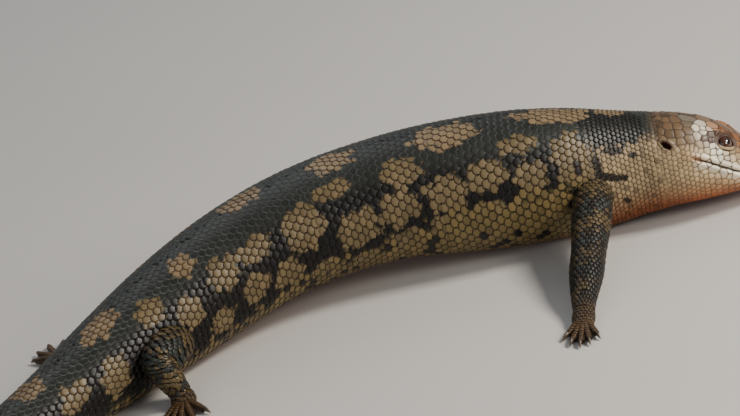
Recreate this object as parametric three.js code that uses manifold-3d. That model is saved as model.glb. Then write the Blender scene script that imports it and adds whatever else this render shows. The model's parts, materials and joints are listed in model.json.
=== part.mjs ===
// A blotched blue-tongued skink at life size, lying on the floor with its trunk and tail bent to the right.
// Millimetres, +Z up. The head points along +X and the animal's right side faces -Y.
// The origin is on the floor under the chest, and everything that touches the floor ends in flats at z = 0.
import * as THREE from 'three';
import { mergeVertices } from 'three/addons/utils/BufferGeometryUtils.js';
import Module from 'manifold-3d';

const wasm = await Module();
wasm.setup();

// Driving dimensions
const SNOUT_TO_VENT = 292;
const TAIL = 153;
const LENGTH = SNOUT_TO_VENT + TAIL;
const CHEST = 95; // distance from the snout of the point above the origin
const GAP = 0.3; // between neighbouring pieces
const SIDES = [['right', -1], ['left', 1]];

// The body's sections, by their distance from the snout: the spine's heading in plan (degrees, 0 is +X),
// the half width, the heights of back and belly, the height of the widest line as a share of the section,
// how square it is (2 is an ellipse) and how far its top leans to the left (degrees). Below 0 the belly
// is cut flat by the floor.
const SECTIONS = [
  { at: 0, heading: -12, half: 6.2, back: 13.2, belly: 6.2, widest: 0.45, square: 2.2, lean: 12 },
  { at: 5, heading: -12, half: 8.2, back: 17.0, belly: 5.0, widest: 0.44, square: 2.3, lean: 12 },
  { at: 12, heading: -12, half: 11.4, back: 22.4, belly: 4.2, widest: 0.42, square: 2.4, lean: 12 },
  { at: 19, heading: -12, half: 14.2, back: 28.8, belly: 3.8, widest: 0.41, square: 2.5, lean: 12 },
  { at: 27, heading: -12, half: 16.8, back: 34.2, belly: 3.4, widest: 0.41, square: 2.5, lean: 12 },
  { at: 36, heading: -11, half: 18.4, back: 37.6, belly: 3.0, widest: 0.42, square: 2.4, lean: 12 },
  { at: 44, heading: -11, half: 18.6, back: 39.6, belly: 2.6, widest: 0.44, square: 2.3, lean: 12 },
  { at: 54, heading: -11, half: 18.2, back: 41.8, belly: 1.4, widest: 0.46, square: 2.2, lean: 11 },
  { at: 66, heading: -11, half: 20.8, back: 44.8, belly: -0.4, widest: 0.45, square: 2.1, lean: 9 },
  { at: 80, heading: -11, half: 25.2, back: 48.0, belly: -1.0, widest: 0.44, square: 2.1, lean: 6 },
  { at: 100, heading: -10, half: 28.2, back: 51.0, belly: -1.0, widest: 0.44, square: 2.1, lean: 3 },
  { at: 125, heading: -7, half: 29.6, back: 52.4, belly: 1.4, widest: 0.44, square: 2.1, lean: 1 },
  { at: 155, heading: 1, half: 29.2, back: 52.2, belly: 5.6, widest: 0.45, square: 2.1, lean: 0 },
  { at: 190, heading: 13, half: 27.8, back: 50.2, belly: 5.8, widest: 0.45, square: 2.1, lean: 0 },
  { at: 225, heading: 27, half: 25.2, back: 45.0, belly: 2.0, widest: 0.45, square: 2.1, lean: 0 },
  { at: 255, heading: 36, half: 22.6, back: 38.6, belly: -0.8, widest: 0.45, square: 2.1, lean: 0 },
  { at: 285, heading: 42, half: 18.8, back: 31.6, belly: -0.8, widest: 0.46, square: 2.1, lean: 0 },
  { at: 310, heading: 44, half: 15.4, back: 26.4, belly: -0.6, widest: 0.46, square: 2.1, lean: 0 },
  { at: 345, heading: 42, half: 12.0, back: 21.6, belly: -0.6, widest: 0.46, square: 2.1, lean: 0 },
  { at: 385, heading: 33, half: 8.4, back: 15.2, belly: -0.5, widest: 0.46, square: 2.1, lean: 0 },
  { at: 424, heading: 22, half: 4.8, back: 8.6, belly: -0.4, widest: 0.46, square: 2.0, lean: 0 },
  { at: 445, heading: 14, half: 2.6, back: 4.6, belly: -0.3, widest: 0.46, square: 2.0, lean: 0 },
];
const SNOUT_ROUND = 5; // the length over which the snout closes
const TAIL_ROUND = 4;

// The nodes of the body and tail, each from one distance from the snout to the next
const LENGTHS = [
  ['head', 0, 51], ['neck', 51, 63], ['torso_front', 63, 122], ['torso_middle', 122, 190],
  ['torso_rear', 190, SNOUT_TO_VENT], ['tail_base', SNOUT_TO_VENT, 340],
  ['tail_middle', 340, 392], ['tail_tip', 392, LENGTH],
];
const BODY_COLUMNS = 28;

// The head's features, by distance from the snout and by height in the section before it leans
const MOUTH = [
  [34, 22.6], [29, 20.4], [24, 17.4], [18, 13.8], [12, 11.4], [6, 10.2], [2, 9.8], [0.5, 9.7], [0, 9.7],
];
const LIP = { radius: 1.2, spread: 1.35, sink: 0.7 };
const GROOVE = { radius: 0.55, sink: 0.15 };
const EYE = { at: 20.5, height: 25.4, radius: 3.4, sink: 2.3 };
const LIDS = { long: 3.3, wide: 2.7, tube: 0.9, rise: 1.5 }; // rise is from the eye's centre
const BROW = { at: 20.5, height: 28.7, long: 8.0, wide: 3.3, deep: 2.6, sink: 1.7, slope: -0.62 };
const NOSTRIL = { at: 4.8, height: 14.2, long: 1.1, wide: 0.8, deep: 1.6 };
const EAR = { at: 43, height: 29.6, long: 2.6, wide: 1.6, deep: 4.5, rim: 0.65, tilt: 42 };

// Limbs. Each joint is forward, outward and up from the spine at the limb's root, then the half width and
// half height of the limb there. Toes fan out, in degrees, about the way the foot faces: 0 is straight
// out from the body and 90 is forwards.
const LIMBS = [
  {
    side: -1, at: 74, names: ['upper_arm_right', 'forearm_right', 'hand_right'],
    upper: [[1, 8, 21, 8, 8], [0, 25, 20, 7.6, 7.8], [-2, 38, 16, 7.2, 7.2], [-4, 49, 12, 6.4, 6.4]],
    lower: [[-4, 48, 12, 5.8, 5.8], [-6, 59, 8.4, 6.2, 6.0], [-8, 70, 4.8, 4.6, 4.2], [-8.5, 76, 3.4, 3.8, 3.2]],
    palm: { place: [-9, 80, 2.6], half: 4.2, tall: 2.7 },
    facing: -8, fan: [-32, -14, 0, 13, 30], toes: [7, 9.5, 10.5, 9.5, 7.5], thick: 1.5,
  },
  {
    side: 1, at: 74, names: ['upper_arm_left', 'forearm_left', 'hand_left'],
    upper: [[2, 8, 21, 8, 8], [0, 24, 18.5, 7.6, 7.8], [-5, 35, 14.5, 7.2, 7.2], [-10, 43, 11, 6.4, 6.4]],
    lower: [[-10, 43, 10.6, 5.8, 5.8], [-1, 48, 8.2, 6.2, 6.0], [9, 51, 4.8, 4.6, 4.2], [15, 52, 3.4, 3.8, 3.2]],
    palm: { place: [19, 52.6, 2.6], half: 4.4, tall: 2.7 },
    facing: 76, fan: [-40, -19, 0, 19, 42], toes: [7.5, 10, 11, 10, 8], thick: 1.5,
  },
  {
    side: -1, at: 266, names: ['thigh_right', 'shank_right', 'foot_right'],
    upper: [[5, 6, 15, 9, 8.5], [1, 16, 16.5, 9.2, 8.4], [-5, 22, 18, 7.8, 7.6], [-10, 24.5, 17.8, 6.4, 6.4]],
    lower: [[-10, 24.5, 17, 5.6, 5.6], [-10, 26.5, 12.5, 5.8, 5.4], [-9, 28, 7, 4.8, 4.4], [-8.5, 29.5, 4, 4.3, 3.4]],
    palm: { place: [-10, 32, 2.7], half: 4.8, tall: 2.8 },
    facing: -44, fan: [-38, -18, 0, 20, 48], toes: [7.5, 10, 11, 10.5, 8], thick: 1.6,
  },
  {
    side: 1, at: 270, names: ['thigh_left', 'shank_left', 'foot_left'],
    upper: [[-5, 6, 16, 9, 8.5], [0, 17, 16, 9.4, 8.8], [7, 27, 13.5, 8, 8], [12, 34, 11.5, 6.6, 6.6]],
    lower: [[12, 34, 11, 5.6, 5.6], [6, 39, 8.6, 6.0, 5.6], [-2, 42, 5.4, 4.9, 4.5], [-7, 44, 3.8, 4.4, 3.4]],
    palm: { place: [-9.5, 47, 2.7], half: 5.0, tall: 2.8 },
    facing: 20, fan: [-42, -20, 0, 22, 50], toes: [8, 11, 12.5, 12, 9], thick: 1.6,
  },
];
const CLAW = { long: 3.4, half: 0.85, tip: 0.3, drop: 0.9 };

const COLOURS = {
  head: 0xa98a62, neck: 0x8d7c5c, torso: 0x6d6a55, tail: 0x5c5a4c, limb: 0x4a463a, eye: 0x3a1d10,
};

// Smooth interpolation of one column of a table of stations
function blend(table, key, at) {
  const last = table.length - 1;
  let i = 0;
  while (i < last - 1 && at > table[i + 1].at) i += 1;
  const slope = (k) => {
    const lo = table[Math.max(k - 1, 0)];
    const hi = table[Math.min(k + 1, last)];
    return (hi[key] - lo[key]) / (hi.at - lo.at);
  };
  const a = table[i];
  const b = table[i + 1];
  const h = b.at - a.at;
  const t = (at - a.at) / h;
  const s = 1 - t;
  return a[key] * (1 + 2 * t) * s * s + h * slope(i) * t * s * s
    + b[key] * t * t * (3 - 2 * t) - h * slope(i + 1) * t * t * s;
}

const headingAt = (at) => THREE.MathUtils.degToRad(blend(SECTIONS, 'heading', at));

// The spine's plan, walked from the snout in short steps and set so that the chest is over the origin
const STEP = 0.5;
const SPINE = [new THREE.Vector2(0, 0)];
for (let k = 0; k < LENGTH / STEP; k += 1) {
  const heading = headingAt((k + 0.5) * STEP);
  const stride = new THREE.Vector2(Math.cos(heading), Math.sin(heading)).multiplyScalar(STEP);
  SPINE.push(SPINE[k].clone().sub(stride));
}
const UNDER_CHEST = SPINE[CHEST / STEP].clone();
SPINE.forEach((point) => point.sub(UNDER_CHEST));

// The spine's place and the directions forward and to the left, at a distance from the snout
function spineAt(at) {
  const k = Math.min(Math.floor(at / STEP), SPINE.length - 2);
  const place = SPINE[k].clone().lerp(SPINE[k + 1], at / STEP - k);
  const heading = headingAt(at);
  return {
    place: new THREE.Vector3(place.x, place.y, 0),
    forward: new THREE.Vector3(Math.cos(heading), Math.sin(heading), 0),
    left: new THREE.Vector3(-Math.sin(heading), Math.cos(heading), 0),
  };
}

// How far the section has closed, near the snout's and the tail's ends
function closing(at) {
  const snout = Math.min(at / SNOUT_ROUND, 1);
  const tail = Math.min((LENGTH - at) / TAIL_ROUND, 1);
  return Math.sqrt(1 - (1 - snout) ** 2) * Math.sqrt(1 - (1 - tail) ** 2);
}

// The body's section at a distance from the snout
function sectionAt(at, grow = 0) {
  const back = blend(SECTIONS, 'back', at);
  const belly = blend(SECTIONS, 'belly', at);
  const middle = belly + blend(SECTIONS, 'widest', at) * (back - belly);
  const shrink = closing(at);
  return {
    half: blend(SECTIONS, 'half', at) * shrink + grow,
    above: (back - middle) * shrink + grow,
    below: (middle - belly) * shrink + grow,
    middle,
    power: blend(SECTIONS, 'square', at),
    lean: THREE.MathUtils.degToRad(blend(SECTIONS, 'lean', at)),
    ...spineAt(at),
  };
}

// A point of a section, across to the left and up from its middle, leaned over with the section
function inSection(s, across, rise) {
  const cos = Math.cos(s.lean);
  const sin = Math.sin(s.lean);
  return s.place.clone().addScaledVector(s.left, across * cos + rise * sin)
    .setZ(s.middle + rise * cos - across * sin);
}

const bulge = (value, power) => Math.sign(value) * Math.abs(value) ** (2 / power);

// The body's surface at a distance from the snout and an angle, 0 on the left and a quarter turn at the back
function bodyPoint(at, angle, reach = 1, grow = 0) {
  const s = sectionAt(at, grow);
  const rise = bulge(Math.sin(angle), s.power) * reach;
  return inSection(s, bulge(Math.cos(angle), s.power) * s.half * reach, rise * (rise > 0 ? s.above : s.below));
}

// The body's surface on one side at a distance from the snout and a height, and its outward direction
function sidePoint(at, height, side) {
  const on = (distance, level) => {
    const s = sectionAt(distance);
    const rise = level - s.middle;
    const share = Math.min(Math.abs(rise) / (rise > 0 ? s.above : s.below), 1);
    return inSection(s, side * s.half * (1 - share ** s.power) ** (1 / s.power), rise);
  };
  const along = on(at + 1, height).sub(on(Math.max(at - 1, 0.05), height));
  const up = on(at, height + 0.5).sub(on(at, height - 0.5));
  return { point: on(at, height), out: along.cross(up).multiplyScalar(side).normalize() };
}

// A closed geometry as a solid, turned the right way out
function solidOf(geometry) {
  geometry.deleteAttribute('normal');
  geometry.deleteAttribute('uv');
  const merged = mergeVertices(geometry, 1e-4);
  const vertProperties = merged.getAttribute('position').array;
  const triVerts = new Uint32Array(merged.index.array);
  const made = new wasm.Manifold(new wasm.Mesh({ numProp: 3, vertProperties, triVerts }));
  if (made.volume() > 0) return made;
  for (let i = 0; i < triVerts.length; i += 3) {
    [triVerts[i], triVerts[i + 1]] = [triVerts[i + 1], triVerts[i]];
  }
  return new wasm.Manifold(new wasm.Mesh({ numProp: 3, vertProperties, triVerts }));
}

// A loft: the rings of a cylinder, each moved onto its section and cut by the floor
function loft(columns, rings, place, floor = 0) {
  const shape = new THREE.CylinderGeometry(1, 1, 1, columns, rings - 1);
  const position = shape.getAttribute('position');
  for (let i = 0; i < position.count; i += 1) {
    const ring = Math.round((0.5 - position.getY(i)) * (rings - 1));
    const reach = Math.round(Math.hypot(position.getX(i), position.getZ(i)));
    const angle = Math.atan2(position.getZ(i), position.getX(i));
    const point = place(ring, angle, reach);
    position.setXYZ(i, point.x, point.y, Math.max(point.z, floor));
  }
  return solidOf(shape);
}

// Distances from the snout for the rings from one end of a piece to the other, closest at the ends
function ringsBetween(from, to) {
  const spacing = (at) => {
    if (at < 1) return 0.4;
    if (at < 4) return 1;
    if (at < 50) return 2.5;
    return at > LENGTH - 6 ? 1.2 : 8;
  };
  const list = [from];
  while (list.at(-1) < to) {
    const step = spacing(list.at(-1));
    const next = list.at(-1) + step;
    list.push(next > to - 0.3 * step ? to : next);
  }
  return list;
}

const TIP = 0.06; // where the first and the last ring are, from the snout's and the tail's ends
function bodyLength(from, to, grow = 0) {
  const rings = ringsBetween(Math.max(from, TIP), Math.min(to, LENGTH - TIP));
  const place = (ring, angle, reach) => bodyPoint(rings[ring], angle, reach, grow);
  return loft(BODY_COLUMNS, rings.length, place, -grow);
}

// A limb's, toe's or claw's loft along a smooth path, with a half width and a half height at each point.
// round lists the turns, as shares of a quarter circle, of the rings that round off each end, and grow
// makes it larger all round, to cut its neighbour clear of it.
function limbLoft(points, { columns = 12, steps = 3, grow = 0, round = [0.5, 0.88] } = {}) {
  const curve = new THREE.CatmullRomCurve3(points.map((p) => p.place), false, 'catmullrom', 0.5);
  const stations = points.map((p, i) => ({ at: i, half: p.half, tall: p.tall }));
  const last = points.length - 1;
  const rings = Array.from({ length: last * steps + 1 }, (_, i) => ({ at: i / steps, over: 0, scale: 1 }));
  round.forEach((turn) => {
    const end = { over: turn, scale: Math.sqrt(1 - turn * turn) };
    rings.push({ at: last, ...end });
    rings.unshift({ at: 0, ...end });
  });
  return loft(columns, rings.length, (ring, angle, reach) => {
    const { at, over, scale } = rings[ring];
    const forward = curve.getTangent(at / last);
    const side = new THREE.Vector3(0, 0, 1).cross(forward).normalize();
    const up = forward.clone().cross(side);
    const half = blend(stations, 'half', at) + grow;
    const tall = blend(stations, 'tall', at) + grow;
    const beyond = over * Math.min(half, tall) * 0.8 * (at === 0 ? -1 : 1);
    return curve.getPoint(at / last).addScaledVector(forward, beyond)
      .addScaledVector(side, Math.cos(angle) * half * scale * reach)
      .addScaledVector(up, Math.sin(angle) * tall * scale * reach);
  }, -grow);
}

// A round bar of a given radius along a path
function bar(points, radius, steps) {
  const ring = new THREE.Shape();
  ring.absarc(0, 0, radius, 0, Math.PI * 2);
  const extrudePath = new THREE.CatmullRomCurve3(points);
  return solidOf(new THREE.ExtrudeGeometry(ring, { steps, curveSegments: 3, extrudePath }));
}

// Directions lying flat against an outward direction: one nearest a given direction, and one across it
function flatAgainst(out, along) {
  const across = out.clone().cross(along).normalize();
  return { along: across.clone().cross(out).normalize(), across };
}

// An egg shape at a point, with its half lengths along a direction, across it and outwards
function egg(centre, along, out, long, wide, deep, segments = 14) {
  const flat = flatAgainst(out, along);
  const basis = new THREE.Matrix4().makeBasis(
    flat.along.multiplyScalar(long),
    flat.across.multiplyScalar(wide),
    out.clone().multiplyScalar(deep),
  ).setPosition(centre);
  return solidOf(new THREE.SphereGeometry(1, segments, Math.round(segments * 0.6)).applyMatrix4(basis));
}

// An oval ring lying flat against an outward direction
function ovalRing(centre, along, out, long, wide, tube) {
  const flat = flatAgainst(out, along);
  const share = tube / wide;
  const basis = new THREE.Matrix4().makeBasis(
    flat.along.multiplyScalar(long),
    flat.across.multiplyScalar(wide),
    out.clone().multiplyScalar(wide),
  ).setPosition(centre);
  return solidOf(new THREE.TorusGeometry(1, share, 6, 18).applyMatrix4(basis));
}

// The mouth's line all the way round the snout, moved up or down and inwards
function mouthLine(lift, sink) {
  const half = (side) => MOUTH.map(([at, height]) => {
    const near = sidePoint(Math.max(at, TIP), height, side);
    return near.point.addScaledVector(near.out, -sink).add(new THREE.Vector3(0, 0, lift));
  });
  return [...half(-1).slice(0, -1), ...half(1).reverse()];
}

function eyePlace(side) {
  const near = sidePoint(EYE.at, EYE.height, side);
  return {
    centre: near.point.clone().addScaledVector(near.out, -EYE.sink),
    out: near.out,
    forward: spineAt(EYE.at).forward,
  };
}

function makeHead() {
  const bars = 24;
  let head = bodyLength(0, LENGTHS[0][2] - GAP / 2);
  [1, -1].forEach((way) => {
    head = head.add(bar(mouthLine(way * LIP.spread, LIP.sink), LIP.radius, bars));
  });
  SIDES.forEach(([, side]) => {
    const eye = eyePlace(side);
    const brow = sidePoint(BROW.at, BROW.height, side);
    const ear = sidePoint(EAR.at, EAR.height, side);
    const nostril = sidePoint(NOSTRIL.at, NOSTRIL.height, side);
    const downward = eye.forward.clone().setZ(BROW.slope);
    const slant = eye.forward.clone().applyAxisAngle(ear.out, side * THREE.MathUtils.degToRad(EAR.tilt));
    const browCentre = brow.point.clone().addScaledVector(brow.out, -BROW.sink);
    const lidCentre = eye.centre.clone().addScaledVector(eye.out, LIDS.rise);
    const socket = EYE.radius + GAP;
    head = head.add(egg(browCentre, downward, brow.out, BROW.long, BROW.wide, BROW.deep))
      .add(ovalRing(lidCentre, eye.forward, eye.out, LIDS.long, LIDS.wide, LIDS.tube))
      .add(ovalRing(ear.point, slant, ear.out, EAR.long, EAR.wide, EAR.rim))
      .subtract(egg(eye.centre, eye.forward, eye.out, socket, socket, socket, 16))
      .subtract(egg(ear.point, slant, ear.out, EAR.long * 0.8, EAR.wide * 0.8, EAR.deep, 12))
      .subtract(egg(nostril.point, eye.forward, nostril.out, NOSTRIL.long, NOSTRIL.wide, NOSTRIL.deep, 10));
  });
  return head.subtract(bar(mouthLine(0, GROOVE.sink), GROOVE.radius, bars));
}

// A limb's three pieces, each cut clear of the one that it grows from and of the body
function makeLimb(limb, body) {
  const root = spineAt(limb.at);
  const out = root.left.clone().multiplyScalar(limb.side);
  const placed = ([forward, outward, up]) => root.place.clone()
    .addScaledVector(root.forward, forward)
    .addScaledVector(out, outward)
    .setZ(up);
  const joints = (list) => list.map((j) => ({ place: placed(j), half: j[3], tall: j[4] }));
  const heading = (degrees) => {
    const turn = THREE.MathUtils.degToRad(degrees);
    return out.clone().multiplyScalar(Math.cos(turn)).addScaledVector(root.forward, Math.sin(turn));
  };
  const upper = joints(limb.upper);
  const lower = joints(limb.lower);
  const wrist = lower.at(-1);
  const { palm } = limb;
  const centre = placed(palm.place);
  const reach = centre.clone().sub(wrist.place).setZ(0).length();
  const knuckles = centre.clone().addScaledVector(heading(limb.facing), reach * 0.8).setZ(1.8);
  let foot = limbLoft([
    wrist,
    { place: centre, half: palm.half, tall: palm.tall },
    { place: knuckles, half: palm.half * 0.9, tall: 2 },
  ], { columns: 10 });

  const t = limb.thick;
  limb.fan.forEach((spread, i) => {
    const way = heading(limb.facing + spread);
    const start = centre.clone().addScaledVector(way, palm.half * 0.55);
    const along = (distance, up) => start.clone().addScaledVector(way, distance).setZ(up);
    const long = limb.toes[i];
    const tip = long + CLAW.long;
    foot = foot.add(limbLoft([
      { place: along(0, 2.2), half: t * 1.15, tall: t * 1.15 },
      { place: along(long * 0.5, t * 1.25), half: t, tall: t },
      { place: along(long, t * 0.9), half: t * 0.8, tall: t * 0.8 },
    ], { columns: 6, steps: 2, round: [0.75] }));
    foot = foot.add(limbLoft([
      { place: along(long - 0.6, t), half: CLAW.half, tall: CLAW.half * 1.2 },
      { place: along(long + CLAW.long * 0.5, t), half: CLAW.half * 0.75, tall: CLAW.half },
      { place: along(tip, t - CLAW.drop), half: CLAW.tip, tall: CLAW.tip },
    ], { columns: 5, steps: 1, round: [0.7] }));
  });

  const clearOfUpper = limbLoft(upper, { grow: GAP });
  const pieces = [
    limbLoft(upper),
    limbLoft(lower).subtract(clearOfUpper),
    foot.subtract(limbLoft(lower, { grow: GAP })).subtract(clearOfUpper),
  ];
  return limb.names.map((name, i) => [name, pieces[i].subtract(body)]);
}

// A solid's largest closed surface as a named mesh
function meshOf(name, solid, colour, roughness = 0.5) {
  const whole = solid.decompose().sort((a, b) => b.volume() - a.volume())[0];
  const { vertProperties, triVerts } = whole.getMesh();
  const geometry = new THREE.BufferGeometry();
  geometry.setAttribute('position', new THREE.BufferAttribute(new Float32Array(vertProperties), 3));
  geometry.setIndex(new THREE.BufferAttribute(new Uint32Array(triVerts), 1));
  geometry.computeVertexNormals();
  const material = new THREE.MeshStandardMaterial({ color: colour, roughness, metalness: 0 });
  const mesh = new THREE.Mesh(geometry, material);
  mesh.name = name;
  return mesh;
}

const skink = new THREE.Group();
LENGTHS.forEach(([name, from, to]) => {
  const end = to < LENGTH ? to - GAP / 2 : to;
  const solid = name === 'head' ? makeHead() : bodyLength(from + GAP / 2, end);
  skink.add(meshOf(name, solid, COLOURS[name.split('_')[0]]));
});
SIDES.forEach(([name, side]) => {
  const { centre, out, forward } = eyePlace(side);
  const ball = egg(centre, forward, out, EYE.radius, EYE.radius, EYE.radius, 16);
  skink.add(meshOf(`eye_${name}`, ball, COLOURS.eye, 0.1));
});
const clearOfBody = bodyLength(0, LENGTH, GAP);
LIMBS.forEach((limb) => {
  makeLimb(limb, clearOfBody).forEach(([name, solid]) => skink.add(meshOf(name, solid, COLOURS.limb)));
});

export default skink;
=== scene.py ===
"""The looks of a still, life-size blue tongued skink: skin, scales, shields, eyes, claws and studio.

All sizes are in millimetres until a mesh is written, and "at" is the way along the back from the
snout's tip. A "turn" goes round the body from 0 on the back's midline to 1 on the belly's midline,
positive on the animal's right side and negative on its left.
"""

import json
import logging
import math
from dataclasses import dataclass, field
from enum import Enum, IntEnum
from typing import Callable, Sequence

import bmesh
import bpy
import numpy as np
from mathutils import Matrix, Vector
from mathutils.bvhtree import BVHTree
from mathutils.kdtree import KDTree

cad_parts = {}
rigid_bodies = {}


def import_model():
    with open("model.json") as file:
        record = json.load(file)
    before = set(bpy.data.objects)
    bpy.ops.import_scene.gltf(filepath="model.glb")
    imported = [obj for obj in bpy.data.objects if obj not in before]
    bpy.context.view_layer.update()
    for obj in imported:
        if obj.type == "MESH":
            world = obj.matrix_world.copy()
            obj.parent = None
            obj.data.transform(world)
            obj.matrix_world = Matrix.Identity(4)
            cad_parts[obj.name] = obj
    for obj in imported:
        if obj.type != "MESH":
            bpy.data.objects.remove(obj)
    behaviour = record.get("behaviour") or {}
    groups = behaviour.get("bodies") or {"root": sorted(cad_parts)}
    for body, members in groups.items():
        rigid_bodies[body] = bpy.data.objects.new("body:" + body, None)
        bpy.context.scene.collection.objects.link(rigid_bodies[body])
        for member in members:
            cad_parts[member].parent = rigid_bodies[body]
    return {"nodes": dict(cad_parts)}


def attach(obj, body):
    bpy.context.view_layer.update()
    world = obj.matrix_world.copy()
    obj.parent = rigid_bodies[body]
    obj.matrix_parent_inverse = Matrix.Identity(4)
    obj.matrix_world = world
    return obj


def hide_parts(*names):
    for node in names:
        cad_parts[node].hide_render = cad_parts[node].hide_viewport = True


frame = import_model()

LOG = logging.getLogger("skink")
MM = 0.001
COAT_DEPTH = 0.45
FLOOR_CLEAR = 0.04

Array = np.ndarray
Colour = tuple[float, float, float]
Place = tuple[float, float, float]
Range = tuple[float, float]
Table = tuple[tuple[float, ...], tuple[float, ...]]


class Side(Enum):
    """A side of the animal, with its sign outwards from the midline to the left."""

    RIGHT = -1
    LEFT = 1


class Column(IntEnum):
    """What each column of the body's sections holds."""

    AT = 0
    HEADING = 1
    HALF = 2
    BACK = 3
    BELLY = 4
    WIDEST = 5
    SQUARE = 6
    LEAN = 7


def smooth(low: float, high: float, value: Array) -> Array:
    """An easy step from 0 at low to 1 at high."""
    t = np.clip((value - low) / (high - low), 0, 1)
    return t * t * (3 - 2 * t)


def unit(vectors: Array) -> Array:
    """The vectors, each made one unit long."""
    return vectors / np.maximum(np.linalg.norm(vectors, axis=-1, keepdims=True), 1e-12)


def blend(x: Array, y: Array, at: Array) -> Array:
    """A smooth curve through a table's values.

    Args:
        x: The table's places, in order.
        y: The value at each place.
        at: Where to read the curve.

    Returns:
        The curve's values.
    """
    at = np.asarray(at, float)
    last = len(x) - 1
    before = np.maximum(np.arange(last + 1) - 1, 0)
    after = np.minimum(np.arange(last + 1) + 1, last)
    slope = (y[after] - y[before]) / (x[after] - x[before])
    i = np.clip(np.searchsorted(x, at, side="left") - 1, 0, last - 1)
    span = x[i + 1] - x[i]
    t = (at - x[i]) / span
    s = 1 - t
    start = y[i] * (1 + 2 * t) * s * s + span * slope[i] * t * s * s
    end = y[i + 1] * t * t * (3 - 2 * t) - span * slope[i + 1] * t * t * s
    return start + end


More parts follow.
